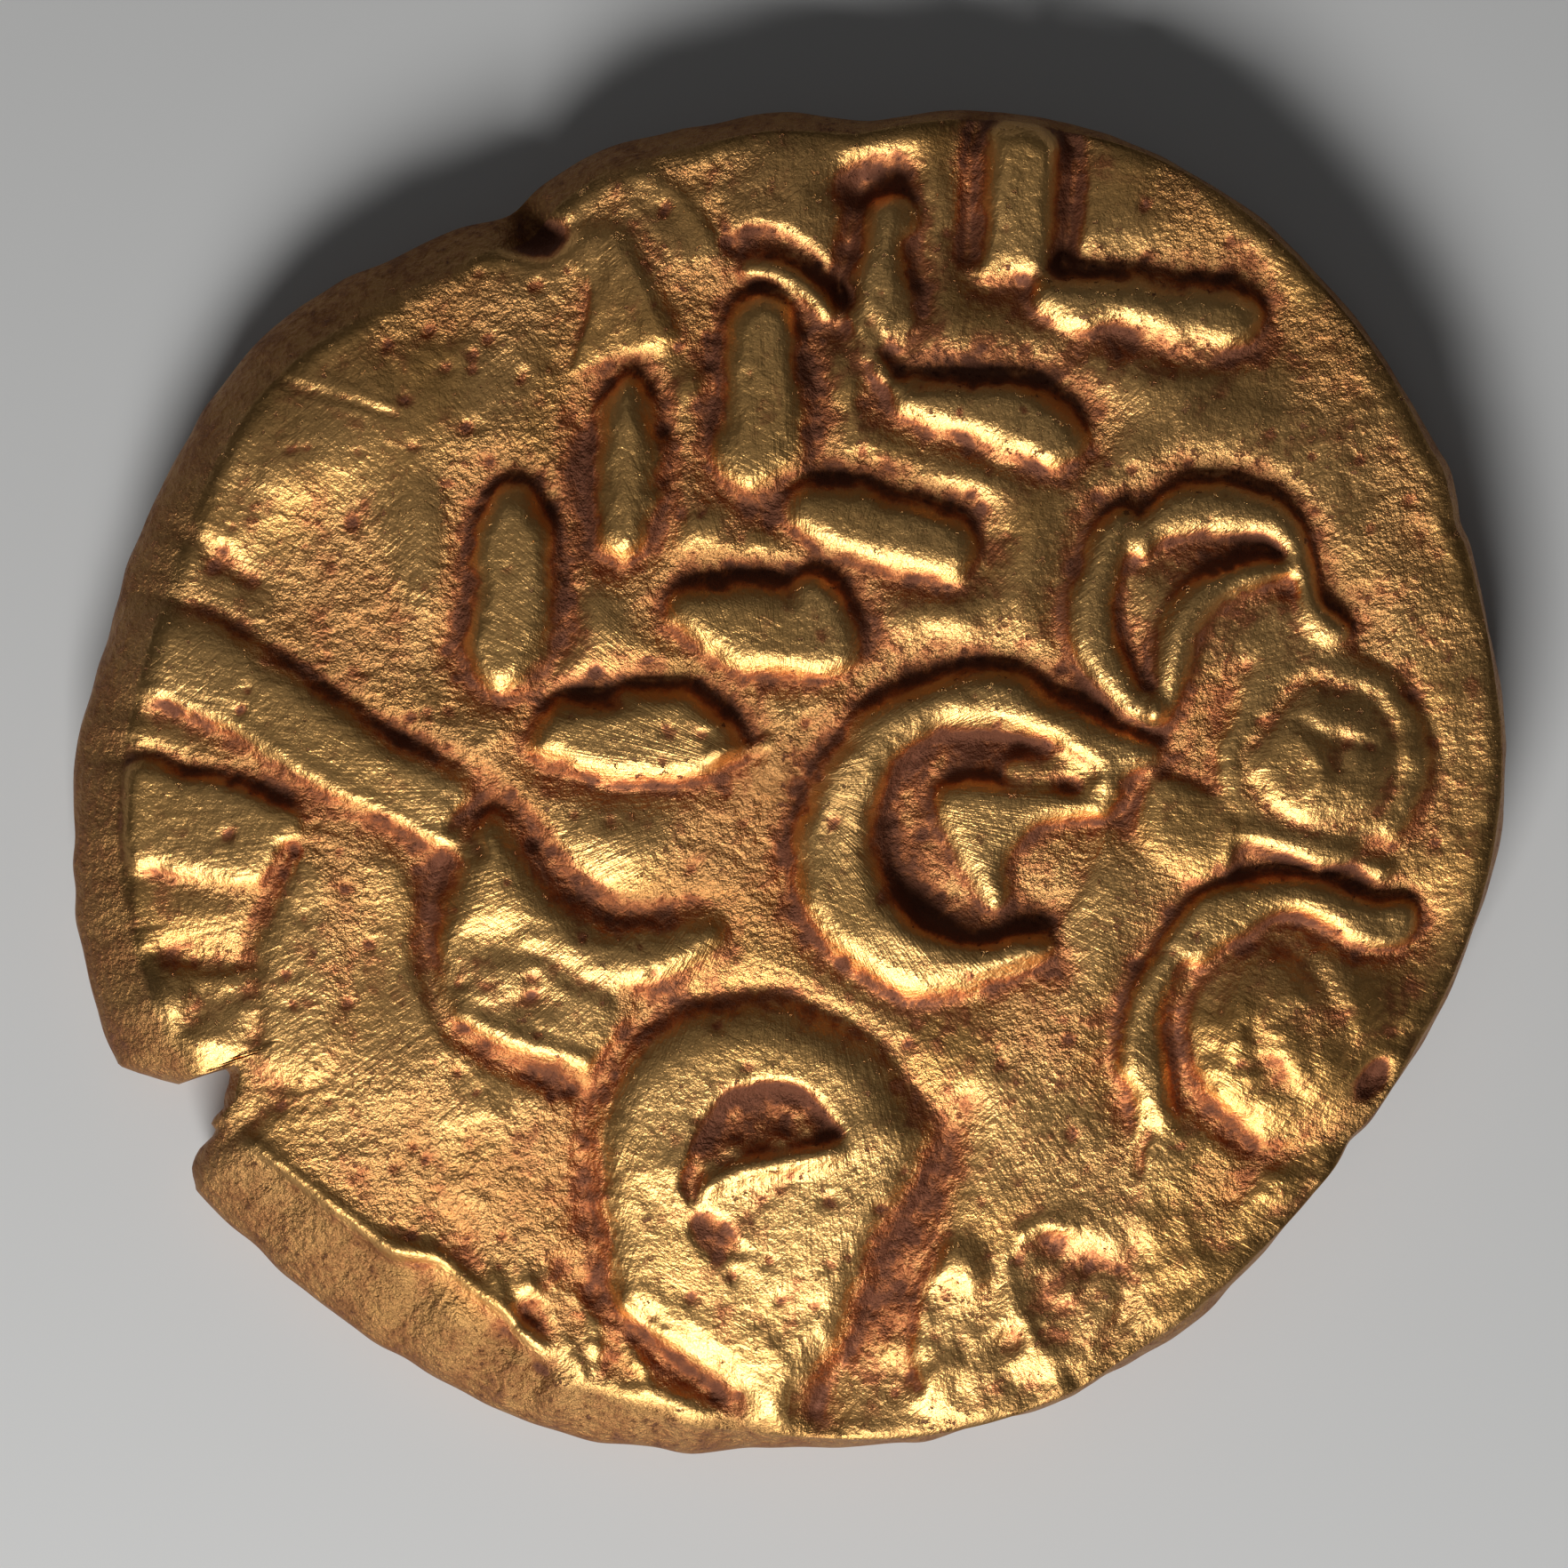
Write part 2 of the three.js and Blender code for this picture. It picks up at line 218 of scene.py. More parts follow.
def moat(points, depth, reach, bias=(0.0, 0.0), steps=3):
    """Lowers the field round an outline; bias shifts the hollow to one side."""
    w, sd = signed(np.array(points, float) + np.array(bias), 2.6 * reach, steps)
    out = np.maximum(-sd, 0)
    MOAT[w] = np.maximum(MOAT[w], depth * (0.55 * np.exp(-((out / (0.5 * reach)) ** 2)) + 0.45 * np.exp(-((out / reach) ** 2))))


def sink(points, depth, wall=14.0, tops=0.0, steps=4):
    """A recess with a sloping wall inside its outline."""
    w, sd = signed(points, 6, steps)
    k = smooth((sd + 2) / wall)
    Z[w] -= depth * k
    TOPS[w] += (tops - TOPS[w]) * k


def stroke(points, height, wall=10.0, tops=0.0):
    """A raised or sunk line with a soft section; the third column is its half width."""
    line = spline(points)
    w = window(line, line[:, 2].max() + wall + 6)
    d, _, _, half = nearest(w, line)
    Z[w] += height * smooth((half + wall - d) / (0.75 * half + wall))
    if tops:
        TOPS[w] = np.maximum(TOPS[w], tops * smooth((half - d + 3) / 6.0))


def scarp(points, height, reach, edge=7.0, ends=0.12):
    """A fold: the ground to the right of travel stands up along the line and dies away over the reach."""
    line = spline(points)
    w = window(line, 2.4 * reach)
    d, s, side, _ = nearest(w, line)
    sd = d * side
    fade = smooth(s / ends) * smooth((1 - s) / ends) * np.exp(-((np.maximum(d - reach, 0) / reach) ** 2))
    Z[w] += height * fade * smooth(0.5 + sd / (2 * edge)) * np.exp(-np.maximum(sd, 0) / reach)


def mound(u, v, ru, rv, height, turn=0.0, power=1.0):
    w = window(np.array([[u, v]], float), 2.5 * max(ru, rv))
    c, s = math.cos(math.radians(turn)), math.sin(math.radians(turn))
    du, dv = UU[w] - u, VV[w] - v
    a, b = (du * c - dv * s) / ru, (du * s + dv * c) / rv
    Z[w] += height * np.exp(-((a * a + b * b) ** power))


def disc(u, v, ru, rv, count=14):
    return [(u + ru * math.cos(2 * math.pi * k / count), v + rv * math.sin(2 * math.pi * k / count)) for k in range(count)]

# ---- leaves: two columns of the wreath
LEAVES = {
    "a1": [(577, 567), (556, 585), (547, 620), (545, 660), (541, 700), (534, 722), (541, 748), (560, 772), (580, 772),
           (600, 752), (616, 725), (619, 690), (618, 640), (610, 600), (597, 575)],
    "a2": [(706, 444), (690, 462), (682, 500), (682, 550), (686, 590), (692, 617), (706, 627), (720, 617), (731, 585),
           (737, 545), (737, 500), (730, 465), (718, 448)],
    "a3": [(858, 346), (838, 358), (824, 385), (819, 420), (822, 465), (824, 505), (826, 530), (838, 546), (855, 546),
           (880, 530), (896, 505), (897, 470), (892, 430), (889, 390), (880, 360)],
    "a4": [(1003, 232), (990, 240), (982, 262), (974, 295), (969, 325), (972, 352), (983, 380), (997, 388), (1008, 370),
           (1017, 340), (1019, 312), (1013, 280), (1014, 250)],
    "a5": [(1122, 160), (1150, 157), (1176, 166), (1184, 185), (1181, 240), (1172, 300), (1160, 316), (1118, 312),
           (1104, 300), (1108, 250), (1113, 200), (1116, 172)],
    "b1": [(610, 836), (620, 816), (645, 803), (690, 798), (745, 788), (775, 793), (805, 812), (826, 832), (812, 850),
           (790, 861), (745, 869), (700, 869), (660, 861), (628, 848)],
    "b2": [(763, 694), (772, 677), (800, 670), (835, 667), (865, 673), (888, 684), (899, 683), (905, 666), (920, 660),
           (935, 668), (947, 684), (953, 708), (949, 736), (938, 748), (905, 755), (865, 750), (820, 736), (785, 724), (767, 710)],
    "b3": [(894, 585), (903, 566), (930, 559), (965, 560), (1005, 570), (1045, 581), (1072, 596), (1088, 618), (1080, 638),
           (1058, 648), (1030, 640), (985, 630), (945, 620), (912, 606)],
    "b4": [(1014, 458), (1030, 447), (1060, 441), (1105, 446), (1150, 453), (1182, 466), (1202, 487), (1200, 512),
           (1180, 523), (1158, 518), (1125, 504), (1090, 490), (1058, 480), (1030, 470)],
    "b5": [(1165, 340), (1195, 328), (1240, 327), (1300, 334), (1350, 338), (1388, 343), (1408, 362), (1402, 382),
           (1375, 396), (1335, 392), (1290, 378), (1245, 366), (1200, 355)],
}

# ---- larger struck shapes
CRESCENT = [(1285, 846), (1240, 828), (1205, 808), (1175, 795), (1150, 777), (1115, 766), (1080, 767), (1045, 776), (1010, 791),
            (975, 816), (947, 848), (925, 882), (909, 920), (903, 952), (906, 990), (918, 1025), (938, 1053), (965, 1078),
            (1000, 1096), (1040, 1104), (1080, 1099), (1120, 1088), (1165, 1068), (1150, 1060), (1110, 1070), (1075, 1067),
            (1045, 1057), (1018, 1038), (998, 1013), (984, 985), (977, 955), (977, 920), (984, 885), (998, 850), (1015, 830),
            (1040, 815), (1075, 808), (1110, 812), (1150, 818), (1180, 832), (1195, 852), (1215, 872), (1232, 902), (1250, 895),
            (1262, 870)]
CRESCENT_PIT = [(1060, 815), (1110, 815), (1160, 826), (1185, 845), (1205, 870), (1225, 900), (1235, 940), (1220, 1000), (1180, 1045),
                (1130, 1066), (1085, 1068), (1045, 1055), (1012, 1030), (990, 990), (979, 945), (985, 890), (1005, 845), (1030, 824)]
BEAK = [(1060, 891), (1100, 886), (1150, 889), (1200, 891), (1234, 897), (1232, 912), (1200, 916), (1166, 922), (1142, 938), (1126, 957),
        (1121, 978), (1123, 1000), (1115, 1013), (1104, 1001), (1089, 975), (1075, 950), (1064, 922)]
BEAK_LUMP = [(1132, 862), (1158, 850), (1186, 848), (1212, 862), (1216, 876), (1175, 879), (1140, 877)]

ARCH = [(862, 1598), (835, 1565), (795, 1528), (745, 1496), (712, 1462), (700, 1430), (693, 1395), (686, 1350), (682, 1308), (684, 1272),
        (690, 1240), (703, 1205), (722, 1180), (752, 1160), (790, 1144), (845, 1137), (895, 1143), (940, 1160), (975, 1187),
        (1002, 1222), (1022, 1250), (1034, 1278), (1020, 1318), (1003, 1352), (983, 1383), (969, 1415), (955, 1450), (940, 1487),
        (920, 1522), (902, 1550), (893, 1578), (890, 1598)]
HALF_MOON = [(762, 1322), (768, 1298), (780, 1268), (795, 1242), (815, 1220), (845, 1208), (880, 1206), (908, 1216), (930, 1238), (948, 1258),
             (953, 1274), (935, 1286), (895, 1295), (850, 1303), (815, 1316), (798, 1330), (785, 1350), (770, 1343)]
ARCH_PIT = [(780, 1358), (800, 1352), (820, 1365), (835, 1388), (848, 1403), (815, 1410), (790, 1400), (775, 1380)]
ARCH_TROUGH = [(1085, 1240), (1055, 1280), (1040, 1300), (1022, 1335), (1000, 1368), (980, 1395), (968, 1430), (955, 1470), (938, 1505),
               (915, 1545), (900, 1575), (905, 1592), (935, 1580), (975, 1560), (1010, 1540), (1022, 1490), (1030, 1430), (1045, 1370), (1062, 1315)]

SIDE_ARC = [(1262, 1200), (1263, 1160), (1272, 1125), (1287, 1090), (1307, 1060), (1333, 1033), (1362, 1010), (1400, 998), (1440, 993),
            (1475, 999), (1510, 1011), (1545, 1025), (1573, 1030), (1568, 1048), (1548, 1056), (1515, 1048), (1485, 1032), (1455, 1020),
            (1420, 1023), (1390, 1041), (1357, 1060), (1333, 1084), (1316, 1115), (1305, 1150), (1302, 1185), (1301, 1220), (1306, 1262),
            (1286, 1266), (1278, 1230), (1266, 1205)]

BENT_LEFT = [(1256, 580), (1236, 595), (1220, 630), (1208, 668), (1203, 705), (1210, 735), (1228, 765), (1252, 790), (1278, 808), (1286, 800),
             (1268, 775), (1254, 745), (1246, 715), (1244, 690), (1250, 655), (1258, 620), (1268, 592)]
BENT_TOP = [(1268, 612), (1284, 585), (1308, 563), (1340, 555), (1375, 556), (1408, 564), (1433, 578), (1450, 602), (1460, 635), (1468, 668),
            (1482, 695), (1500, 712), (1490, 716), (1470, 700), (1457, 675), (1449, 645), (1440, 622), (1420, 606), (1390, 598), (1350, 594),
            (1315, 600), (1292, 612), (1280, 628)]
BENT_INNER = [(1440, 642, 3), (1400, 650, 8), (1362, 662, 13), (1335, 685, 16), (1318, 715, 17), (1311, 750, 16), (1304, 780, 12), (1297, 806, 6)]
LEDGE = [(1388, 712), (1405, 690), (1432, 680), (1462, 692), (1498, 716), (1482, 735), (1440, 742), (1402, 735)]

BAND = [(176, 700), (230, 709), (300, 749), (370, 796), (440, 841), (500, 873), (524, 888), (524, 925), (519, 947), (500, 949), (478, 930),
        (440, 911), (400, 894), (352, 869), (310, 847), (272, 816), (240, 800), (204, 784), (170, 776)]
WEDGE = [(160, 868), (220, 876), (270, 890), (312, 905), (338, 922), (334, 950), (318, 968), (292, 986), (250, 982), (215, 977), (188, 967), (160, 962)]
STUMP = [(345, 965), (364, 985), (374, 1050), (372, 1110), (380, 1170), (350, 1200), (312, 1185), (300, 1130), (290, 1092), (302, 1058), (318, 1020), (330, 985)]
HOOK = [(545, 932), (575, 938), (605, 978), (635, 1015), (668, 1038), (705, 1046), (745, 1045), (778, 1033), (803, 1043), (795, 1064),
        (770, 1084), (735, 1099), (705, 1097), (670, 1086), (635, 1074), (600, 1058), (560, 1058), (515, 1065), (505, 1050), (508, 1015),
        (520, 980), (532, 950)]
HOOK_FOOT = [(505, 1056), (560, 1054), (610, 1062), (650, 1080), (690, 1096), (700, 1120), (690, 1160), (668, 1200), (630, 1190), (590, 1177),
             (555, 1162), (532, 1150), (520, 1135), (510, 1105)]
CORNER_LUMPS = [(163, 1100), (180, 1090), (215, 1100), (240, 1110), (285, 1100), (292, 1130), (280, 1160), (262, 1182), (240, 1185), (215, 1165), (190, 1155), (168, 1140)]


def shape_face():
    """The obverse, from its broad unevenness to its small folds."""
    global Z
    Z += 0.035 * noise(150, 11) + 0.014 * noise(60, 12)

    # hollows round the struck shapes
    for name, ring in LEAVES.items():
        moat(ring, 0.22, 62, (-6, -2) if name[0] == "a" else (3, -8))
    moat(CRESCENT, 0.20, 84, (-2, -6))
    moat(ARCH, 0.18, 70, (-6, -8))
    moat(SIDE_ARC, 0.16, 62, (-6, -4))
    moat(BENT_LEFT, 0.19, 56, (-4, -4))
    moat(BENT_TOP, 0.22, 56, (2, -8))
    moat(disc(1480, 850, 110, 108), 0.14, 46, (-4, -4))
    moat(HOOK, 0.12, 70, (0, 0))
    Z -= blur(MOAT, 6)

    # left side: broad plate, its lip and folds
    scarp([(612, 300), (640, 276), (690, 262), (718, 298), (745, 346), (766, 386), (772, 420)], 0.15, 110, 16, 0.2)
    scarp([(690, 190), (735, 200), (775, 232), (805, 275), (822, 300)], 0.09, 60, 11, 0.2)
    scarp([(470, 486), (447, 479), (380, 460), (300, 424)], 0.055, 60, 7, 0.3)
    stroke([(304, 420, 2), (340, 440, 4), (395, 456, 3), (450, 474, 1)], -0.06, 7)
    scarp([(225, 655), (262, 632), (315, 602), (395, 572), (490, 552)], -0.17, 420, 58, 0.3)
    stroke([(196, 600, 5), (222, 606, 6), (250, 628, 5), (290, 656, 3)], -0.07, 14)
    mound(262, 606, 40, 22, 0.05, 25)
    mound(345, 505, 150, 46, 0.06, 29)
    mound(420, 440, 150, 90, 0.07, 20)
    mound(480, 1250, 160, 90, 0.05, -30)
    mound(540, 390, 80, 60, 0.05)
    mound(600, 330, 70, 30, 0.05, 20)
    mound(450, 640, 60, 60, 0.05)

    # grooves and bands running in from the left edge
    stroke([(176, 690, 4), (260, 714, 6), (330, 758, 7), (400, 804, 8), (470, 846, 9), (523, 872, 10), (560, 902, 13), (595, 946, 16),
            (630, 990, 18), (680, 1030, 18), (730, 1042, 13), (778, 1026, 5)], -0.07, 30)
    stroke([(430, 822, 5), (480, 850, 8), (523, 872, 10), (560, 902, 13), (595, 946, 16), (630, 990, 18), (680, 1030, 18), (730, 1042, 12), (772, 1030, 4)], -0.07, 24)
    mound(690, 945, 90, 42, 0.10, -6)
    mound(640, 900, 50, 25, 0.03)
    plate(BAND, 0.10, 22, 26, (0, -0.04))
    stroke([(180, 777, 3), (225, 797, 4), (270, 816, 5), (310, 842, 5), (353, 868, 5), (400, 894, 5), (443, 914, 5), (480, 934, 4), (512, 945, 3)], 0.065, 13, 0.6)
    stroke([(150, 846, 5), (200, 862, 7), (260, 880, 8), (320, 903, 5)], -0.08, 24)
    stroke([(180, 790, 6), (250, 822, 10), (320, 875, 12), (400, 918, 14), (470, 950, 14), (490, 985, 12)], -0.08, 28)
    plate(WEDGE, 0.12, 14, 18)
    mound(230, 1020, 70, 24, 0.05, -4)
    stroke([(335, 958, 3), (318, 1000, 6), (300, 1045, 7), (286, 1090, 5), (292, 1120, 4), (298, 1160, 4)], -0.16, 16)
    plate(STUMP, 0.11, 22, 30, (0.02, 0.03), 0.7)
    plate(CORNER_LUMPS, 0.09, 18, 24, (0.0, -0.03), 0.7)
    stroke([(222, 1148, 3), (240, 1120, 6), (262, 1118, 8), (284, 1112, 4)], -0.07, 18)
    mound(197, 1128, 26, 16, 0.06, 10)
    mound(250, 1165, 26, 16, 0.07, -20)
    stroke([(165, 1098, 4), (200, 1072, 6), (250, 1075, 6), (290, 1085, 4)], -0.06, 22)
    stroke([(532, 922, 5), (520, 960, 8), (502, 1000, 9), (492, 1032, 10), (490, 1072, 10), (500, 1104, 8), (516, 1140, 6), (560, 1180, 4), (640, 1215, 4)], -0.15, 24)
    mound(440, 1050, 50, 110, -0.07)
    plate(HOOK, 0.16, 22, 44, (0.0, -0.05), power=2.0)
    plate(HOOK_FOOT, 0.12, 22, 40, (0.0, 0.05), 0.9, power=2.0)
    stroke([(545, 905, 4), (536, 930, 8), (545, 955, 5)], -0.10, 12)
    stroke([(524, 1136, 3), (545, 1147, 5), (572, 1158, 5), (605, 1170, 5), (640, 1182, 4), (662, 1188, 3)], 0.06, 12, 0.6)
    stroke([(600, 1052, 3), (640, 1066, 5), (675, 1084, 6), (707, 1092, 6), (740, 1088, 6), (770, 1074, 5), (806, 1048, 3)], 0.06, 16, 0.7)

    # the arch, its recess and the trough beside it
    w, sd = signed(ARCH_TROUGH, 40)
    Z[w] -= 0.13 * smooth((sd + 34) / 52)
    moat_left = [(700, 1195, 8), (676, 1250, 14), (668, 1300, 14), (676, 1350, 13), (684, 1400, 12), (694, 1440, 8)]
    stroke(moat_left, -0.05, 28)
    scarp([(1020, 1590), (1033, 1535), (1042, 1475), (1054, 1425), (1074, 1380)], 0.13, 130, 15, 0.15)
    plate(ARCH, 0.20, 24, 40, power=2.1)
    mound(830, 1490, 90, 90, -0.05)
    mound(712, 1505, 60, 40, 0.13, -40)
    mound(680, 1440, 40, 40, 0.07)
    sink(HALF_MOON, 0.22, 20)
    mound(858, 1290, 95, 20, 0.16, 9)
    mound(788, 1326, 24, 16, 0.12, 35)
    stroke([(805, 1324, 3), (850, 1309, 5), (900, 1300, 5), (940, 1290, 3)], 0.05, 14, 0.6)
    for u, v, h in ((850, 1262, 0.06), (878, 1276, 0.08), (905, 1262, 0.06), (825, 1284, 0.06), (892, 1246, 0.05), (800, 1304, 0.06)):
        mound(u, v, 13, 10, h)
    sink(ARCH_PIT, 0.08, 14)
    stroke([(838, 1362, 1.5), (868, 1336, 2.5), (898, 1310, 1)], -0.03, 5)
    scarp([(868, 1600), (840, 1577), (800, 1541), (760, 1512), (735, 1500)], 0.06, 30, 9)
    stroke([(780, 1500, 4), (812, 1528, 5), (838, 1566, 4)], -0.035, 16)
    stroke([(895, 1550, 4), (893, 1596, 5)], -0.05, 14)

    # first crescent with its beak
    sink(CRESCENT_PIT, 0.08, 18)
    plate(CRESCENT, 0.21, 20, 20, power=2.3)
    mound(1085, 1050, 84, 22, 0.14, -4)
    plate(BEAK, 0.10, 14, 18)
    plate(BEAK_LUMP, 0.02, 14, 16, tops=0.5)
    mound(1262, 890, 36, 60, -0.10, 10)
    plate([(1300, 879), (1335, 887), (1372, 906), (1375, 940), (1352, 972), (1322, 960), (1296, 945), (1282, 912)], 0.05, 24, 30, (0, 0.03), 0.6)
    stroke([(1305, 866, 3), (1335, 876, 4), (1368, 892, 3)], -0.07, 10)
    stroke([(1375, 922, 3), (1372, 950, 4), (1375, 985, 3)], 0.06, 9)

    # side arc with the mound inside it
    mound(1442, 1155, 118, 96, 0.27, 20, 1.9)
    mound(1500, 1210, 70, 70, 0.05)
    plate(SIDE_ARC, 0.18, 16, 11)
    mound(1566, 1042, 46, 30, -0.12)
    stroke([(1330, 1088, 4), (1312, 1130, 6), (1314, 1176, 7), (1332, 1222, 8), (1356, 1250, 8), (1392, 1282, 6)], -0.15, 18)
    stroke([(1432, 1062, 3), (1470, 1098, 5), (1494, 1140, 6), (1508, 1185, 4)], -0.06, 20)
    stroke([(1400, 1150, 4), (1408, 1185, 6), (1425, 1205, 4)], -0.06, 18)
    plate([(1276, 1290), (1286, 1268), (1308, 1264), (1330, 1290), (1328, 1318), (1305, 1336), (1282, 1328)], 0.09, 14, 20, tops=0.4)
    stroke([(1284, 1240, 2), (1287, 1264, 3), (1277, 1288, 3), (1275, 1312, 2)], -0.09, 7)

    # pellet and its ring
    plate(disc(1480, 850, 113, 108), 0.065, 16, 14, tops=0.9, warp=2.0)
    plate(disc(1482, 852, 96, 94), -0.04, -6, 18, tops=0.2, warp=2.0)
    mound(1578, 905, 46, 70, -0.07, 20)
    mound(1500, 955, 70, 30, -0.05)
    plate(disc(1484, 855, 80, 79), 0.14, 14, 34, (-0.03, 0.02), 0.9, 2.0, 0.05, warp=2.0)
    mound(1487, 832, 18, 13, -0.06)
    stroke([(1455, 812, 3), (1478, 828, 5), (1500, 832, 4), (1540, 842, 3)], -0.04, 9)
    stroke([(1470, 850, 3), (1482, 868, 4), (1462, 890, 3)], 0.04, 10)
    stroke([(1390, 938, 5), (1420, 946, 8), (1465, 957, 9), (1505, 962, 8), (1545, 978, 5)], 0.09, 18, 0.6)
    stroke([(1575, 846, 8), (1588, 870, 10), (1575, 905, 10), (1560, 935, 8)], 0.06, 18)

    # bent ridge
    mound(1360, 640, 46, 30, -0.08)
    plate(LEDGE, 0.05, 20, 24, (0.03, 0.03), 0.6)
    plate(BENT_LEFT, 0.19, 14, 18)
    stroke(BENT_INNER, 0.25, 18, 0.8)
    plate(BENT_TOP, 0.18, 14, 16)

    # leaves and what links them
    for name, ring in LEAVES.items():
        plate(ring, {"a4": 0.16, "b5": 0.15}.get(name, 0.18), 20, 17, tilt=(0, {"a5": -0.22}.get(name, -0.03)) if name[0] == "a" else (0, 0.0), power=2.0, warp=2.0)
    stroke([(845, 312, 3), (872, 316, 7), (905, 332, 8), (940, 358, 9), (965, 384, 8), (985, 415, 6), (1000, 440, 4)], 0.17, 15, 0.6)
    stroke([(808, 849, 7), (838, 846, 6), (862, 838, 3)], 0.10, 10)
    for u, v, ru, rv, h in (
        (785, 595, 34, 40, 0.09), (672, 705, 26, 40, 0.06), (940, 440, 26, 38, 0.09), (1080, 545, 60, 20, 0.08), (850, 620, 34, 16, 0.06),
        (1290, 430, 80, 26, 0.07), (790, 440, 22, 30, 0.07), (1060, 380, 40, 40, 0.07), (560, 820, 30, 28, 0.05), (1195, 372, 40, 20, 0.05),
        (930, 800, 26, 24, 0.05), (1010, 700, 40, 20, 0.05), (1075, 690, 30, 22, 0.05), (650, 760, 40, 20, 0.03),
    ):
        mound(u, v, ru, rv, h)

    # top edge
    stroke([(1098, 140, 8), (1097, 200, 9), (1090, 290, 8)], -0.14, 14)
    stroke([(1200, 165, 9), (1198, 230, 10), (1190, 300, 9)], -0.14, 16)
    stroke([(828, 284, 4), (860, 276, 7), (895, 290, 8), (925, 318, 8), (948, 340, 5)], -0.14, 16)
    mound(990, 206, 42, 20, -0.17, 12, 1.2)
    mound(958, 214, 26, 22, -0.16, 30)
    stroke([(966, 230, 5), (957, 280, 8), (950, 330, 6), (946, 372, 4)], -0.12, 18)
    mound(600, 268, 34, 22, -0.50, -8, 1.5)
    mound(556, 262, 34, 16, -0.28, 8, 1.2)
    mound(590, 232, 16, 10, 0.08)

    # lower left: fold along the rim, the smooth hollow behind it and the wrinkled strip
    scarp([(592, 1488), (540, 1447), (500, 1413), (470, 1408), (443, 1402), (400, 1368), (358, 1337), (305, 1297), (272, 1270)], 0.22, 60, 9, 0.08)
    stroke([(285, 1283, 3), (320, 1312, 5), (358, 1340, 6), (400, 1372, 6), (443, 1396, 6), (480, 1406, 5), (510, 1424, 6), (545, 1452, 6), (590, 1488, 5), (615, 1506, 3)], 0.10, 15, 0.5)
    stroke([(596, 1492, 3), (625, 1514, 6), (660, 1538, 6), (698, 1556, 7), (742, 1564, 6), (790, 1577, 6), (842, 1592, 4)], 0.085, 15, 0.5)
    stroke([(640, 1420, 4), (668, 1452, 8), (700, 1484, 9), (735, 1512, 7), (775, 1540, 5)], -0.08, 18)
    mound(530, 1392, 28, 46, -0.15, 35, 1.2)
    mound(545, 1400, 18, 40, 0.08, 35, 1.2)
    for line in (
        [(600, 1436, 3), (620, 1466, 5), (638, 1502, 4)], [(652, 1452, 3), (672, 1488, 5), (676, 1530, 4)],
        [(700, 1490, 3), (722, 1520, 5), (734, 1552, 4)], [(560, 1428, 3), (575, 1462, 5), (586, 1488, 3)],
        [(690, 1440, 3), (712, 1470, 5), (745, 1492, 4)], [(612, 1520, 3), (632, 1546, 5), (640, 1572, 3)],
    ):
        stroke(line, 0.065, 10, 0.4)
    for u, v, ru, rv, h, t in (
        (640, 1500, 26, 22, 0.07, 0), (690, 1540, 24, 30, -0.08, 20), (655, 1540, 18, 26, 0.06, 30), (720, 1560, 20, 22, 0.07, 0),
        (520, 1470, 24, 30, 0.07, 40), (480, 1450, 20, 24, -0.06, 0), (560, 1500, 22, 18, -0.06, 0), (600, 1440, 30, 20, 0.05, 0),
        (770, 1570, 26, 20, 0.06, -30),
    ):
        mound(u, v, ru, rv, h, t)
    mound(431, 1465, 20, 17, -0.30, 0, 1.6)
    mound(600, 1556, 15, 17, -0.22, 0, 1.6)

    # lower right: worn ringed pellet, small plate, short arcs, pit in the rim
    plate(disc(1192, 1424, 78, 66), 0.07, 30, 30, (0.0, -0.03), 0.3, warp=3.0)
    stroke([(r[0], r[1], 4) for r in disc(1194, 1424, 64, 56, 12)] + [(1258, 1424, 4)], 0.03, 18, 0.4)
    mound(1192, 1426, 52, 44, -0.12, 10, 1.5)
    mound(1204, 1440, 26, 22, 0.07)
    mound(1178, 1420, 16, 14, 0.05)
    stroke([(1148, 1378, 4), (1175, 1370, 7), (1200, 1376, 4)], 0.07, 10, 0.4)
    stroke([(1108, 1420, 4), (1104, 1455, 7), (1112, 1490, 6), (1135, 1500, 4)], -0.05, 22)
    plate([(1038, 1446), (1060, 1436), (1084, 1446), (1096, 1475), (1090, 1502), (1062, 1516), (1036, 1528)], 0.08, 12, 14, (0, 0.03), 0.7)
    stroke([(1050, 1422, 3), (1064, 1398, 5), (1086, 1400, 5), (1099, 1424, 3)], 0.05, 18)
    stroke([(1270, 1400, 4), (1258, 1430, 6), (1256, 1475, 5), (1246, 1500, 4)], -0.05, 20)
    stroke([(1380, 1340, 5), (1400, 1305, 7), (1436, 1296, 5)], -0.07, 18)
    mound(1440, 1330, 50, 26, 0.07, 30)
    mound(1537, 1212, 13, 24, -0.24, -30, 1.5)


def rays(seed, count, wander):
    """Lines that run outwards to the edge, as metal flows when it is struck."""
    table = np.random.default_rng(seed).standard_normal((9, count))
    k = np.fft.rfft(table, axis=1) * np.exp(-((np.arange(count // 2 + 1) / (0.30 * count)) ** 2))
    table = np.fft.irfft(k, count, axis=1)
    table /= table.std()
    a = (AA / (2 * np.pi) % 1.0) * count + wander * noise(60, seed + 1)
    r = np.clip(SHARE * 8, 0, 7.999)
    j = np.floor(r).astype(int)
    f = smooth(r - j)
    i0 = np.floor(a).astype(int)
    h = smooth(a - i0)
    i0 %= count
    i1 = (i0 + 1) % count
    lo = table[j, i0] * (1 - h) + table[j, i1] * h
    hi = table[j + 1, i0] * (1 - h) + table[j + 1, i1] * h
    return (lo * (1 - f) + hi * f).astype(np.float32)


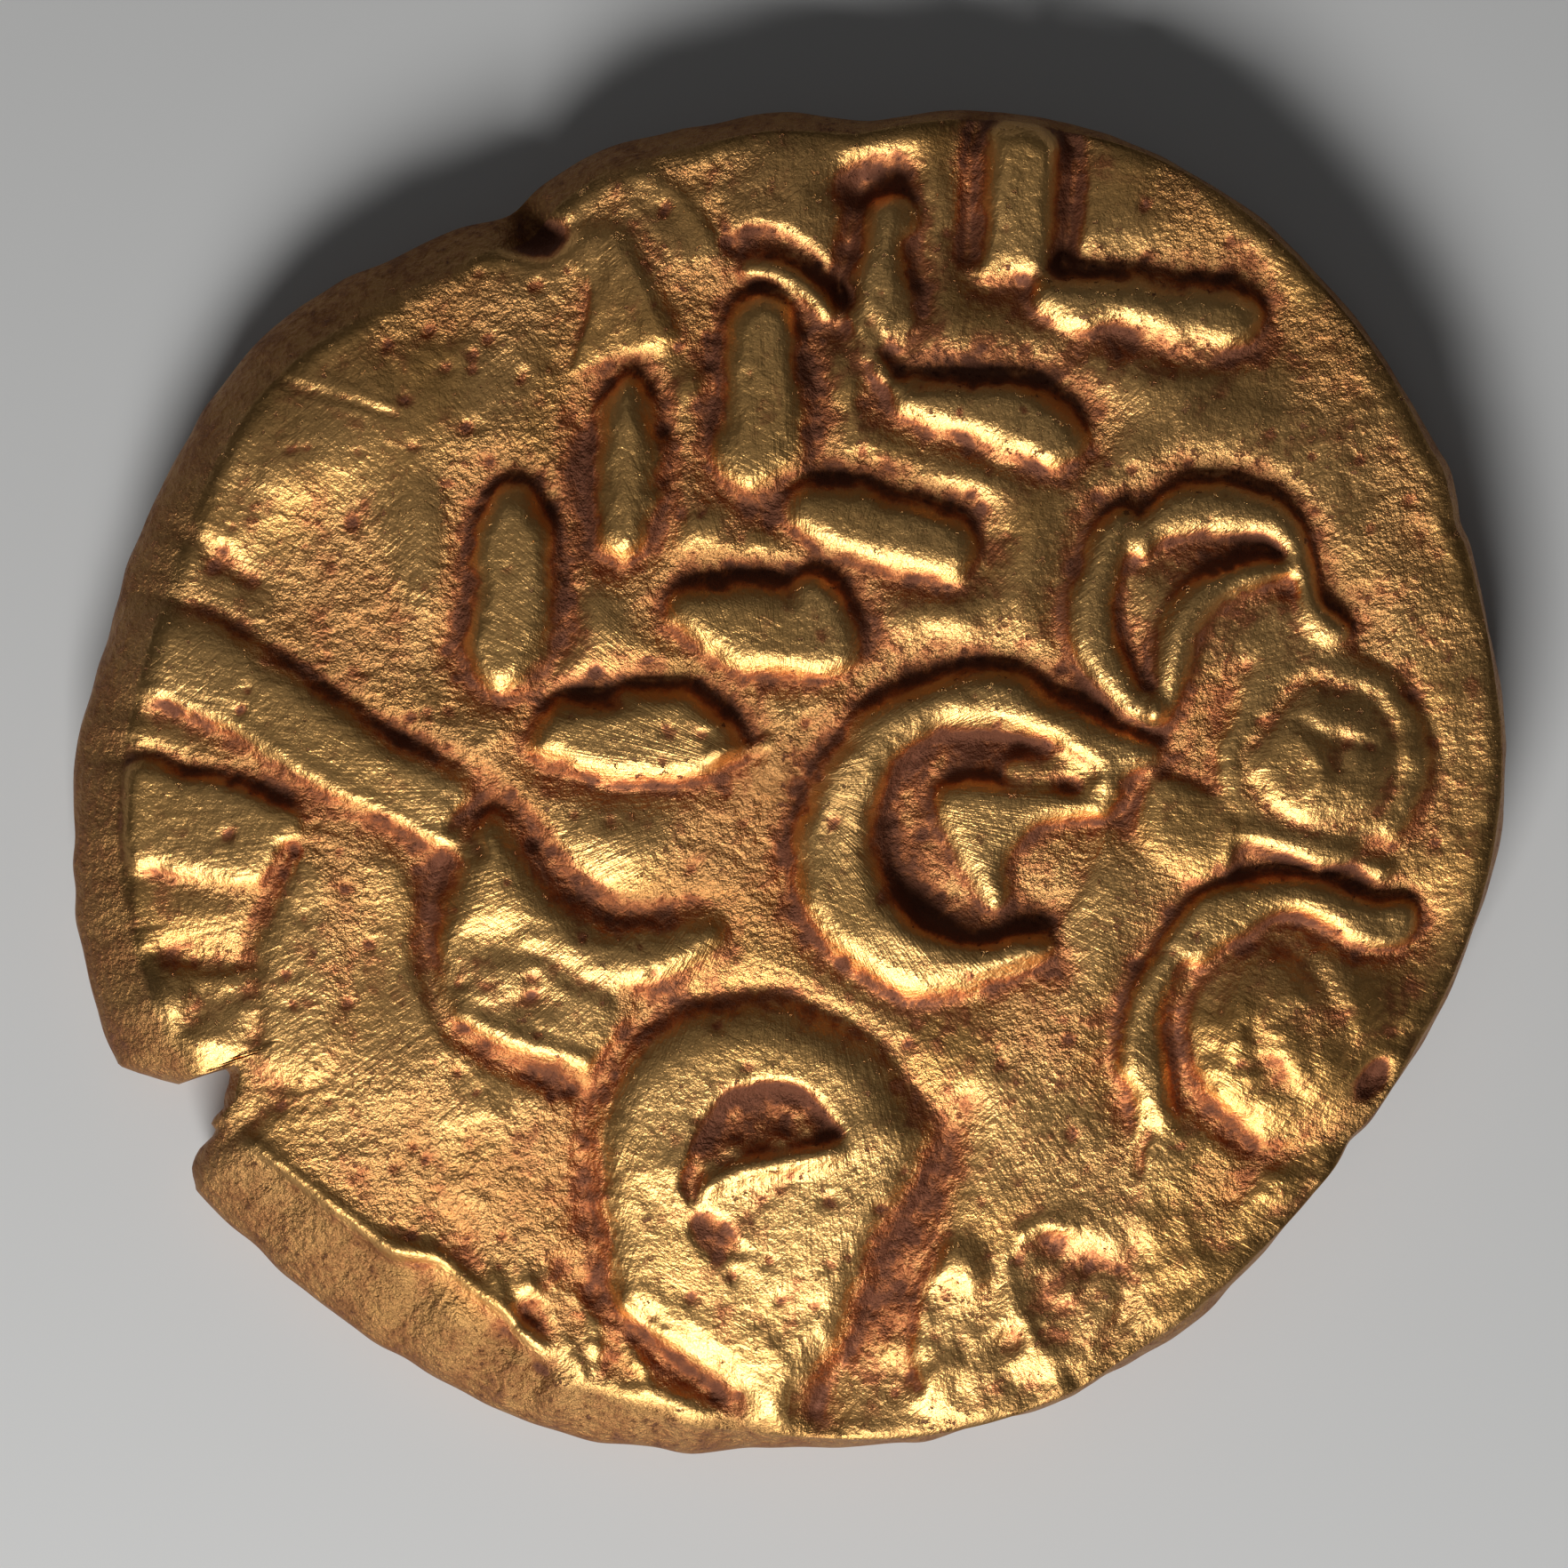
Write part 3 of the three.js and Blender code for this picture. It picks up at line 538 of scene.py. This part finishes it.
# rough patches of the field: middle, half widths, height of their lumps
ROUGH = (
    (650, 1505, 95, 62, 0.085), (780, 452, 34, 34, 0.030), (822, 578, 60, 34, 0.035), (942, 440, 50, 90, 0.035), (1280, 412, 130, 40, 0.030),
    (605, 1105, 62, 44, 0.040), (1195, 1430, 90, 70, 0.045), (1440, 1330, 90, 50, 0.030), (1440, 1160, 110, 90, 0.045), (870, 1255, 70, 40, 0.035),
    (1090, 850, 90, 60, 0.020), (1010, 1480, 50, 100, 0.030), (1530, 430, 50, 50, 0.022), (650, 1330, 50, 90, 0.024), (520, 1290, 120, 90, 0.018),
    (1585, 760, 60, 180, 0.020), (480, 400, 130, 60, 0.016), (1250, 1180, 60, 120, 0.018), (220, 1130, 70, 50, 0.030), (1085, 700, 70, 60, 0.020),
    (1130, 1480, 110, 56, 0.050), (1330, 1420, 110, 60, 0.042), (1200, 1545, 120, 36, 0.034),
    (860, 230, 90, 50, 0.024), (1484, 858, 62, 62, 0.034), (900, 1500, 110, 90, 0.020),
)


PITS = np.zeros_like(UU)


def pit(u, v, r, depth, squash=0.8, turn=0.0):
    """A small hole filled with grime."""
    mound(u, v, r, r * squash, -depth, turn, 1.4)
    w = window(np.array([[u, v]], float), 2.5 * r)
    PITS[w] = np.maximum(PITS[w], np.exp(-(((UU[w] - u) ** 2 + (VV[w] - v) ** 2) / (0.8 * r) ** 2)))


def roughen():
    """Lumps and hollows of the rough patches, and small pits scattered over the face."""
    lumps = 0.7 * noise(13, 81) + 0.5 * (0.8 - np.abs(noise(9, 82)))
    amount = np.zeros_like(UU)
    for u, v, ru, rv, h in ROUGH:
        amount = np.maximum(amount, h * np.exp(-(((UU - u) / ru) ** 2 + ((VV - v) / rv) ** 2)))
    Z[:] += amount * lumps
    rng = np.random.default_rng(91)
    for _ in range(260):
        a, share, r, d = rng.uniform(0, 2 * math.pi), math.sqrt(rng.uniform(0, 0.93)), rng.uniform(5.0, 9.5), rng.uniform(0.02, 0.05)
        reach = float(shoulder(np.array(a))) * share / UNIT
        pit(CU + reach * math.cos(a), CV - reach * math.sin(a), r, d, rng.uniform(0.6, 1.0), rng.uniform(0, 180))
    for u, v in ((487, 378), (537, 405), (535, 422), (507, 420), (552, 387), (542, 312), (530, 487), (442, 393), (610, 327)):
        pit(u, v, 8, 0.06)
    for u, v, r in ((431, 1465, 24), (600, 1556, 18), (1537, 1212, 18), (604, 268, 26)):
        pit(u, v, r, 0.02)


shape_face()
roughen()
Z += 0.05 * np.exp(-(((SHARE - 0.985) / 0.018) ** 2)) * smooth(0.6 + 0.7 * noise(45, 51))
Z = blur(Z, 2.6)
FIELD = 1.0 - np.clip(TOPS, 0, 1)
# recesses, where dirt and red deposit stay, and worn crests
RECESS = np.clip((blur(Z, 30) - Z) / 0.14, -1, 1)
HOLLOW = np.clip((blur(Z, 9) - Z) / 0.03, -1, 1)
EDGE_ZONE = smooth((SHARE - 0.60) / 0.3)
down, across = np.gradient(blur(Z, 3), STEP * UNIT)
WALL = smooth((np.hypot(down, across) - 0.30) / 0.7)
SPOTS = noise(9, 61) * 0.6 + noise(4.5, 62) * 0.5
TONE = noise(30, 63) * 0.6 + noise(90, 64) * 0.6
PATCH = 0.30 + 0.95 * smooth(0.5 + 0.55 * noise(75, 95))
GRAIN = np.clip(PATCH * FIELD * smooth(RECESS * 1.2 + 0.55 + 0.25 * noise(40, 20)), 0, 1)
Z += 0.0100 * noise(17, 21) * PATCH * (0.45 + 0.55 * FIELD)
Z += 0.0085 * (0.6 - np.abs(noise(7, 22))) * PATCH * (0.35 + 0.55 * GRAIN + 0.5 * WALL)
Z += 0.0055 * noise(5, 23) * PATCH * (0.3 + 0.7 * GRAIN)
Z += 0.0016 * (noise(4, 24, 30, -35) * smooth(0.5 + noise(60, 25)) + noise(4, 26, 26, 20) * smooth(0.5 + noise(60, 27)))
Z += EDGE_ZONE * (0.2 + 0.8 * FIELD) * (0.006 * rays(41, 300, 4.0) + 0.003 * rays(43, 620, 6.0))
Z += 0.013 * rays(45, 260, 3.0) * smooth((SHARE - 0.70) / 0.2) * np.exp(-(((AA - 1.66) / 0.33) ** 2))
# darkness for the colour: dirt in recesses, hollows, specks and pits, and painted shade on the steep walls (the WALL
# term), which darkens and reddens every wall
DIRT_AND_WALL_SHADE = 0.42 * RECESS + 0.20 * HOLLOW + 0.42 * WALL * smooth(RECESS + 0.80) + 0.20 * SPOTS - 0.03
DIRT_AND_WALL_SHADE += 0.62 * PITS
# places where the red deposit is thick: middle, half widths, amount
for u, v, ru, rv, h in (
    (1035, 950, 52, 110, 0.34), (1105, 1040, 70, 32, 0.30), (1100, 852, 84, 30, 0.42), (862, 1228, 78, 22, 0.65), (810, 1382, 38, 28, 0.45),
    (1195, 1425, 52, 44, 0.22), (1370, 645, 56, 34, 0.30), (785, 455, 34, 40, 0.45), (820, 585, 70, 36, 0.42), (940, 440, 46, 95, 0.45),
    (1250, 415, 120, 34, 0.38), (1090, 390, 76, 44, 0.34), (1010, 1440, 36, 110, 0.24), (620, 1110, 60, 34, 0.16), (655, 1510, 70, 50, 0.16),
    (1150, 1190, 60, 90, 0.14), (650, 745, 60, 50, 0.32), (1000, 695, 90, 40, 0.34), (1080, 1180, 56, 66, 0.16), (1052, 1290, 36, 74, 0.22), (650, 560, 26, 80, 0.26), (1130, 560, 60, 30, 0.22), (1440, 1180, 90, 70, 0.14), (431, 1465, 26, 22, 0.5),
):
    DIRT_AND_WALL_SHADE += h * np.exp(-(((UU - u) / ru) ** 2 + ((VV - v) / rv) ** 2))

# ---------------------------------------------------------------- the coin's mesh
FACE_N = 276  # squares across the obverse grid
BACK_N = 92  # and across the reverse
BACK_HEIGHT, BACK_LEAST = 0.16, 0.035
BACK_RIDGES = (
    ((-3.4, 0.8), (-0.6, 2.6), (2.9, 0.9), 0.5, 1.1, 0.5), ((2.6, 1.1), (3.9, 2.2), (3.4, 3.9), 0.5, 0.5, 0.36),
    ((-2.9, 0.6), (-3.9, -0.8), (-3.2, -2.7), 0.36, 0.3, 0.24), ((-1.9, 1.0), (-1.9, -0.9), (-1.2, -2.9), 0.36, 0.3, 0.24),
    ((2.3, 0.8), (2.2, -0.9), (3.0, -2.7), 0.36, 0.3, 0.24), ((-4.6, -3.4), (0.0, -4.6), (4.4, -3.3), 0.26, 0.34, 0.26),
)
BACK_DOMES = ((0.3, -1.3, 0.62), (-0.4, 3.9, 0.5), (-3.5, 2.7, 0.42))


def pick(field, x, y):
    """Reads a drawing field at plan points in mm."""
    u = np.clip((x / UNIT + CU - U0) / STEP, 0, NU - 1.001)
    v = np.clip((CV - y / UNIT - V0) / STEP, 0, NV - 1.001)
    j, i = np.floor(u).astype(int), np.floor(v).astype(int)
    a, b = u - j, v - i
    return (field[i, j] * (1 - a) + field[i, j + 1] * a) * (1 - b) + (field[i + 1, j] * (1 - a) + field[i + 1, j + 1] * a) * b


def disc_grid(n):
    """A square grid bent into a disc: share of the radius, angle, the quads, and the vertices round its edge in turn."""
    t = np.linspace(-1, 1, n + 1)
    a, b = (g.ravel() for g in np.meshgrid(t, t))
    wide = np.abs(a) >= np.abs(b)
    share = np.where(wide, np.abs(a), np.abs(b))
    with np.errstate(divide="ignore", invalid="ignore"):
        angle = np.where(
            wide,
            np.where(a >= 0, 0.0, np.pi) + np.pi / 4 * np.nan_to_num(b / np.where(a == 0, 1, a)),
            np.where(b >= 0, np.pi / 2, 1.5 * np.pi) - np.pi / 4 * np.nan_to_num(a / np.where(b == 0, 1, b)),
        )
    k = np.arange((n + 1) ** 2).reshape(n + 1, n + 1)
    quads = np.stack([k[:-1, :-1], k[:-1, 1:], k[1:, 1:], k[1:, :-1]], -1).reshape(-1, 4)
    ring = np.concatenate([k[0, :-1], k[:-1, -1], k[-1, :0:-1], k[:0:-1, 0]])
    return share, angle % (2 * np.pi), quads, ring


def curve_distance(x, y, ridge):
    """Distance to a bent bar's middle line as a share of its half width."""
    (p, q, r), w = ridge[:3], ridge[3:]
    best = np.full(x.shape, 1e9)
    share = np.zeros_like(best)
    t = np.linspace(0, 1, 160)
    px = (1 - t) ** 2 * p[0] + 2 * t * (1 - t) * q[0] + t * t * r[0]
    py = (1 - t) ** 2 * p[1] + 2 * t * (1 - t) * q[1] + t * t * r[1]
    half = 0.5 * np.interp(t, [0, 0.5, 1], w)
    for cx, cy, h in zip(px, py, half):
        d = np.hypot(x - cx, y - cy) / h
        best = np.minimum(best, d)
    return best


def reverse_height(x, y, r, foot):
    inner = LAND_INNER * foot
    hollow = DISH * np.maximum(0.0, 1.0 - (r / inner) ** 2)
    down = np.zeros_like(x)
    for ridge in BACK_RIDGES:
        down = np.maximum(down, 1.0 - smooth((curve_distance(x, y, ridge) - 0.35) / 1.15))
    for cx, cy, cr in BACK_DOMES:
        d = np.hypot(x - cx, y - cy) / cr
        down = np.maximum(down, np.sqrt(np.maximum(0.0, 1.0 - np.minimum(1.2, d * 0.92) ** 2)))
        down = np.maximum(down, 0.5 * np.exp(-(((d - 1.55) / 0.18) ** 2)))
    rough = 0.022 * pick(REVERSE_NOISE, x, y) * smooth((1.02 - r / foot) / 0.2)
    z = np.maximum(np.minimum(BACK_LEAST, hollow), hollow - BACK_HEIGHT * down * smooth((1 - r / inner) / 0.2))
    return np.maximum(0.0, z + np.maximum(rough, -z))


REVERSE_NOISE = noise(40, 71) * 0.6 + noise(16, 72) * 0.4
EDGE_NOISE = noise(26, 73) + 0.5 * noise(11, 74)


def inner_edge(a):
    """Plan radius at which the face meets the rounded edge."""
    return np.minimum(shoulder(a), bitten(a) - 0.10)


def edge_noise(a, z):
    """Unevenness of the edge, read round a drawn loop so that it closes."""
    return pick(EDGE_NOISE, 6.4 * np.cos(a) * (1 - 0.12 * z), 6.4 * np.sin(a) * (1 - 0.12 * z))


share, angle, face_quads, face_ring = disc_grid(FACE_N)
reach = shoulder(angle)
radius = share * reach - smooth((share - 0.78) / 0.22) * (reach - inner_edge(angle))
fx, fy = radius * np.cos(angle), radius * np.sin(angle)
fz = pick(BASE + Z, fx, fy)

ring_angle = angle[face_ring]
ring_r, ring_z = radius[face_ring], fz[face_ring]
outer = bitten(ring_angle)
broken = smooth((rim(ring_angle) - outer) / 0.25)
foot_r = outer - FOOT_INSET * (1 - 0.75 * broken)
rows = []
for s in (0.06, 0.22, 0.42, 0.62, 0.82, 1.0):
    rows.append((ring_r + (outer - ring_r) * (1 - (1 - s) ** 1.7), ring_z - (ring_z - BELLY_Z) * s))
for turn in (22, 45, 66):
    t = math.radians(turn)
    rows.append((foot_r + (outer - foot_r) * math.cos(t), np.full(outer.shape, BELLY_Z * (1 - math.sin(t)))))
columns = len(face_ring)
strip = []
for n, (r, z) in enumerate(rows):
    uneven = smooth(np.array((n + 1) / 2.5)) * (0.028 + 0.045 * broken) * edge_noise(ring_angle, z)
    strip.append(np.stack([(r + uneven) * np.cos(ring_angle), (r + uneven) * np.sin(ring_angle), z], -1))

ratio = FACE_N // BACK_N
b_share, b_angle, back_quads, back_ring = disc_grid(BACK_N)
b_outer = bitten(b_angle)
b_foot = rim(b_angle) - FOOT_INSET
b_cut = b_foot - (b_outer - FOOT_INSET * (1 - 0.75 * smooth((rim(b_angle) - b_outer) / 0.25)))
b_r = b_share * b_foot - smooth((b_share - 0.78) / 0.22) * b_cut
bx, by = b_r * np.cos(b_angle), b_r * np.sin(b_angle)
bz = reverse_height(bx, by, b_r, b_foot)

verts = [np.stack([fx, fy, fz], -1)] + strip + [np.stack([bx, by, bz], -1)]
counts = [len(v) for v in verts]
starts = np.concatenate([[0], np.cumsum(counts)])
co = np.vstack(verts)
faces4 = [face_quads]
upper = face_ring
for n in range(len(strip)):
    lower = starts[1 + n] + np.arange(columns)
    faces4.append(np.stack([upper, lower, np.roll(lower, -1), np.roll(upper, -1)], -1))
    upper = lower
back_start = starts[1 + len(strip)]
faces4.append(back_start + back_quads[:, ::-1])
# the last row of the edge meets the coarser reverse
low = back_start + back_ring
faces3 = []
m = len(low)
for k in range(m):
    a, b = low[k], low[(k + 1) % m]
    up = [upper[(k * ratio + s) % columns] for s in range(ratio + 1)]
    mid = ratio // 2
    for s in range(ratio):
        faces3.append((up[s], a if s <= mid else b, up[s + 1]))
        if s == mid:
            faces3.append((up[s + 1], a, b))
quads = np.vstack(faces4)
tris = np.array(faces3)
loops = np.concatenate([quads.ravel(), tris.ravel()])
sizes = np.concatenate([np.full(len(quads), 4), np.full(len(tris), 3)])

mesh = bpy.data.meshes.new("coin_struck")
mesh.vertices.add(len(co))
mesh.vertices.foreach_set("co", (co * 0.001).astype(np.float32).ravel())
mesh.loops.add(len(loops))
mesh.loops.foreach_set("vertex_index", loops.astype(np.int32))
mesh.polygons.add(len(sizes))
mesh.polygons.foreach_set("loop_start", np.concatenate([[0], np.cumsum(sizes)[:-1]]).astype(np.int32))
mesh.polygons.foreach_set("loop_total", sizes.astype(np.int32))
mesh.update(calc_edges=True)
mesh.validate()
mesh.polygons.foreach_set("use_smooth", np.ones(len(mesh.polygons), bool))

is_face = np.zeros(len(co), bool)
is_face[: counts[0]] = True
is_back = np.zeros(len(co), bool)
is_back[back_start:] = True
x, y = co[:, 0], co[:, 1]
# weight of the painted shade on the rounded edge: 1 on the edge, rising over the outer margin of the face, 0 on the
# reverse
side = np.where(is_face, smooth((np.concatenate([share, np.zeros(len(co) - counts[0])]) - 0.955) / 0.045), np.where(is_back, 0.0, 1.0))
back_recess = np.clip((co[:, 2] - 0.10) / 0.22, 0, 1)
edge_spots = pick(SPOTS, 8.0 * np.cos(np.arctan2(y, x)) * (1 - 0.1 * co[:, 2]), 8.0 * np.sin(np.arctan2(y, x)) * (1 - 0.1 * co[:, 2]))
# on the edge the dirt value grows towards the bottom of the edge
edge_row = smooth((1.9 - co[:, 2]) / 1.1)
# on the face the dirt value also holds painted shade on the steep walls
values = {
    "dirt_and_shade": np.where(is_face, pick(DIRT_AND_WALL_SHADE, x, y), np.where(is_back, 0.5 * back_recess - 0.1 + 0.14 * pick(SPOTS, x, y), 0.17 + 0.30 * edge_row + 0.10 * edge_spots)),
    "tops": np.where(is_face, pick(np.clip(TOPS, 0, 1), x, y), np.where(is_back, 0.4, 0.3)),
    "grain": np.where(is_face, pick(GRAIN, x, y), np.where(is_back, 0.4, 0.75)),
    "tone": pick(TONE, x, y),
    "side": side,
}
for name, value in values.items():
    layer = mesh.attributes.new(name, "FLOAT", "POINT")
    layer.data.foreach_set("value", value.astype(np.float32))

coin = bpy.data.objects.new("coin_struck", mesh)
bpy.context.scene.collection.objects.link(coin)

# a flat layout: obverse, reverse, and the edge as a strip in four rows
uv = mesh.uv_layers.new(name="OFBake")
loop_vert = np.zeros(len(mesh.loops), np.int32)
mesh.loops.foreach_get("vertex_index", loop_vert)
poly_of = np.repeat(np.arange(len(mesh.polygons)), [p.loop_total for p in mesh.polygons])
first = np.array([p.loop_start for p in mesh.polygons])
n_face, n_back = len(face_quads), len(back_quads)
n_strip = len(strip) * columns
kind = np.concatenate([np.zeros(n_face, int), np.ones(n_strip, int), np.full(n_back, 2), np.ones(len(tris), int)])
lx, ly, lz = (co[loop_vert, k] for k in range(3))
turn_of = (np.arctan2(ly, lx) / (2 * np.pi)) % 1.0
poly_turn = turn_of[first]
delta = (turn_of - poly_turn[poly_of] + 0.5) % 1.0 - 0.5
ROWS = 4
row = np.floor(poly_turn * ROWS).astype(int)
along = (poly_turn[poly_of] + delta) * ROWS - row[poly_of]
height = np.concatenate([np.zeros(counts[0]), np.repeat(np.arange(1, len(strip) + 1), columns), np.full(counts[-1], len(strip) + 1)])
across = height[loop_vert] / (len(strip) + 1)
where = kind[poly_of]
FACE_SIZE, BACK_SIZE = 0.66, 0.33
layout = np.where(
    (where == 0)[:, None],
    np.stack([(lx / 9.6 * 0.5 + 0.5) * FACE_SIZE, 1 - FACE_SIZE + (ly / 9.6 * 0.5 + 0.5) * FACE_SIZE], -1),
    np.where(
        (where == 2)[:, None],
        np.stack([FACE_SIZE + (0.5 - lx / 9.6 * 0.5) * BACK_SIZE, 1 - BACK_SIZE + (ly / 9.6 * 0.5 + 0.5) * BACK_SIZE], -1),
        np.stack([0.01 + 0.96 * along, 0.01 + 0.08 * row[poly_of] + 0.07 * (1 - across)], -1),
    ),
)
uv.data.foreach_set("uv", layout.astype(np.float32).ravel())

# ---------------------------------------------------------------- gold
gold = bpy.data.materials.new("coin_gold")
gold.use_nodes = True
tree = gold.node_tree
tree.nodes.clear()


def add(kind, **settings):
    n = tree.nodes.new(kind)
    for key, value in settings.items():
        setattr(n, key, value)
    return n


def put(socket, value):
    if isinstance(value, bpy.types.NodeSocket):
        tree.links.new(value, socket)
    else:
        socket.default_value = value


def math_(operation, a, b=0.0, clamp=False):
    n = add("ShaderNodeMath", operation=operation, use_clamp=clamp)
    put(n.inputs[0], a)
    put(n.inputs[1], b)
    return n.outputs[0]


def span(value, lo, hi, to_lo=0.0, to_hi=1.0, kind="SMOOTHSTEP"):
    n = add("ShaderNodeMapRange", interpolation_type=kind)
    put(n.inputs["Value"], value)
    for name, v in zip(("From Min", "From Max", "To Min", "To Max"), (lo, hi, to_lo, to_hi)):
        put(n.inputs[name], v)
    return n.outputs["Result"]


def blend_(factor, a, b, mode="MIX"):
    n = add("ShaderNodeMix", data_type="RGBA", blend_type=mode)
    put(n.inputs[0], factor)
    for s, v in ((n.inputs[6], a), (n.inputs[7], b)):
        put(s, v if isinstance(v, bpy.types.NodeSocket) else (*v, 1.0))
    return n.outputs[2]


def attribute(name):
    return add("ShaderNodeAttribute", attribute_name=name).outputs["Fac"]


place = add("ShaderNodeTexCoord").outputs["Object"]


def turned(angle, squash):
    """Plan coordinates turned by an angle and drawn out along it."""
    n = add("ShaderNodeMapping", vector_type="TEXTURE")
    put(n.inputs["Vector"], place)
    put(n.inputs["Rotation"], (0.0, 0.0, math.radians(angle)))
    put(n.inputs["Scale"], (squash, 1.0, 1.0))
    return n.outputs["Vector"]


def grain(per_mm, detail=3.0, rough=0.55, vector=None, flat=False):
    n = add("ShaderNodeTexNoise", noise_dimensions="2D" if flat else "3D")
    put(n.inputs["Vector"], vector or place)
    for name, v in (("Scale", per_mm * 1000.0), ("Detail", detail), ("Roughness", rough)):
        put(n.inputs[name], v)
    return n.outputs["Fac"]


low, tops, coarse, tone, painted_edge_shade = (attribute(n) for n in ("dirt_and_shade", "tops", "grain", "tone", "side"))
fine = grain(8.0, 4.0, 0.66)

# flow lines: the plan turned into polar form, long outwards and fine round the edge
split = add("ShaderNodeSeparateXYZ")
put(split.inputs[0], place)
polar_angle = math_("ARCTAN2", split.outputs[1], split.outputs[0])
polar_radius = add("ShaderNodeVectorMath", operation="LENGTH")
put(polar_radius.inputs[0], place)
join = add("ShaderNodeCombineXYZ")
put(join.inputs[0], math_("MULTIPLY", math_("COSINE", polar_angle), 0.009))
put(join.inputs[1], math_("MULTIPLY", math_("SINE", polar_angle), 0.009))
put(join.inputs[2], math_("MULTIPLY", polar_radius.outputs["Value"], 0.10))
flow = grain(12.0, 1.0, 0.6, join.outputs[0])
# scratches along two directions
scratch_a = grain(15.0, 2.0, 0.6, turned(38, 14.0), flat=True)
scratch_b = grain(15.0, 2.0, 0.6, turned(-28, 11.0), flat=True)
lines = math_("ADD", math_("MULTIPLY", span(scratch_a, 0.50, 0.75), span(tone, -0.2, 1.2)), math_("MULTIPLY", span(scratch_b, 0.52, 0.75), span(tone, 0.2, -1.2)))

# colour: clean gold, paler on struck tops, coppery in the field, red-brown dirt low down and painted shade on the steep
# walls
clean = blend_(span(tone, -1.0, 1.0), (0.80, 0.425, 0.13), (0.88, 0.49, 0.17))
clean = blend_(math_("MULTIPLY", tops, 0.5), clean, (0.85, 0.50, 0.18))
clean = blend_(math_("MULTIPLY", coarse, 0.45), clean, (0.80, 0.37, 0.145))
speckled = math_("ADD", low, math_("MULTIPLY", math_("SUBTRACT", fine, 0.5), 1.3))
clean = blend_(span(speckled, -0.10, 0.55, 0.0, 0.85), clean, (0.56, 0.185, 0.075))
dirt_and_shade = span(speckled, 0.22, 0.95)
specks = span(math_("ADD", fine, math_("MULTIPLY", tone, 0.02)), 0.64, 0.70)
dirt_and_shade = math_("MAXIMUM", dirt_and_shade, math_("MULTIPLY", specks, 0.85), True)
# painted shade: the rounded edge and the outer margin of the face turn dark brown all round
clean = blend_(math_("MULTIPLY", painted_edge_shade, 0.74), clean, (0.25, 0.138, 0.048))
# dirt and painted wall shade turn the colour dark red-brown
colour = blend_(math_("MULTIPLY", dirt_and_shade, 0.90), clean, (0.15, 0.046, 0.02))

shader = add("ShaderNodeBsdfPrincipled")
put(shader.inputs["Base Color"], colour)
put(shader.inputs["Metallic"], span(dirt_and_shade, 0.3, 1.0, 1.0, 0.45))
rough_ = math_("ADD", span(fine, 0.3, 0.7, 0.44, 0.355), math_("MULTIPLY", dirt_and_shade, 0.26))
put(shader.inputs["Roughness"], math_("ADD", rough_, math_("MULTIPLY", coarse, 0.10), True))

# surface: fine grain, flow lines, scratches and pits
height = math_("MULTIPLY", math_("SUBTRACT", fine, 0.5), span(coarse, 0.0, 1.0, 0.68, 2.1))
height = math_("ADD", height, math_("MULTIPLY", math_("SUBTRACT", flow, 0.5), 0.18))
height = math_("SUBTRACT", height, math_("MULTIPLY", lines, 0.07))
height = math_("SUBTRACT", height, math_("MULTIPLY", specks, 0.8))
bump = add("ShaderNodeBump")
put(bump.inputs["Strength"], 1.0)
put(bump.inputs["Distance"], 0.000040)
put(bump.inputs["Height"], height)
put(shader.inputs["Normal"], bump.outputs[0])
out = add("ShaderNodeOutputMaterial")
tree.links.new(shader.outputs[0], out.inputs["Surface"])
mesh.materials.append(gold)

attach(coin, "root")
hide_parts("coin")

# ---------------------------------------------------------------- floor, light, camera
floor_mesh = bpy.data.meshes.new("floor")
s = 0.6
floor_mesh.from_pydata([(-s, -s, -2e-5), (s, -s, -2e-5), (s, s, -2e-5), (-s, s, -2e-5)], [], [(0, 1, 2, 3)])
floor = bpy.data.objects.new("floor", floor_mesh)
bpy.context.scene.collection.objects.link(floor)
paper = bpy.data.materials.new("floor_paper")
paper.use_nodes = True
surface = paper.node_tree.nodes["Principled BSDF"]
surface.inputs["Base Color"].default_value = (0.70, 0.70, 0.69, 1.0)
surface.inputs["Roughness"].default_value = 0.9
surface.inputs["Specular IOR Level"].default_value = 0.1
floor_mesh.materials.append(paper)


def lamp(name, place, aim, size, power, size_y=None):
    data = bpy.data.lights.new(name, "AREA")
    data.shape = "RECTANGLE"
    data.size = size
    data.size_y = size_y or size
    data.energy = power
    o = bpy.data.objects.new(name, data)
    bpy.context.scene.collection.objects.link(o)
    from mathutils import Vector

    o.location = place
    o.rotation_euler = (Vector(aim) - Vector(place)).to_track_quat("-Z", "Y").to_euler()
    return o


lamp("key", (-0.018, -0.086, 0.060), (0, 0, 0.001), 0.054, 0.120, 0.036)
lamp("fill", (-0.03, 0.05, 0.16), (0, 0, 0.001), 0.12, 0.009)

world = bpy.data.worlds.new("studio")
bpy.context.scene.world = world
world.use_nodes = True
world.node_tree.nodes["Background"].inputs["Color"].default_value = (0.95, 0.97, 1.0, 1.0)
world.node_tree.nodes["Background"].inputs["Strength"].default_value = 0.032

view = bpy.context.scene.view_settings
view.view_transform = "Standard"
view.look = "None"
view.exposure = 0.0

LENS = 120.0
WIDTH = 1764 * UNIT * 0.001
camera_data = bpy.data.cameras.new("camera")
camera_data.type = "PERSP"
camera_data.lens = LENS
camera_data.sensor_width = 36.0
camera_data.clip_start = 0.005
camera_data.clip_end = 5.0
camera = bpy.data.objects.new("camera", camera_data)
bpy.context.scene.collection.objects.link(camera)
camera.location = ((882 - CU) * UNIT * 0.001, (CV - 882) * UNIT * 0.001, BELLY_Z * 0.001 + WIDTH * LENS / 36.0)
camera.rotation_euler = (0.0, 0.0, 0.0)
bpy.context.scene.camera = camera

bpy.context.view_layer.update()
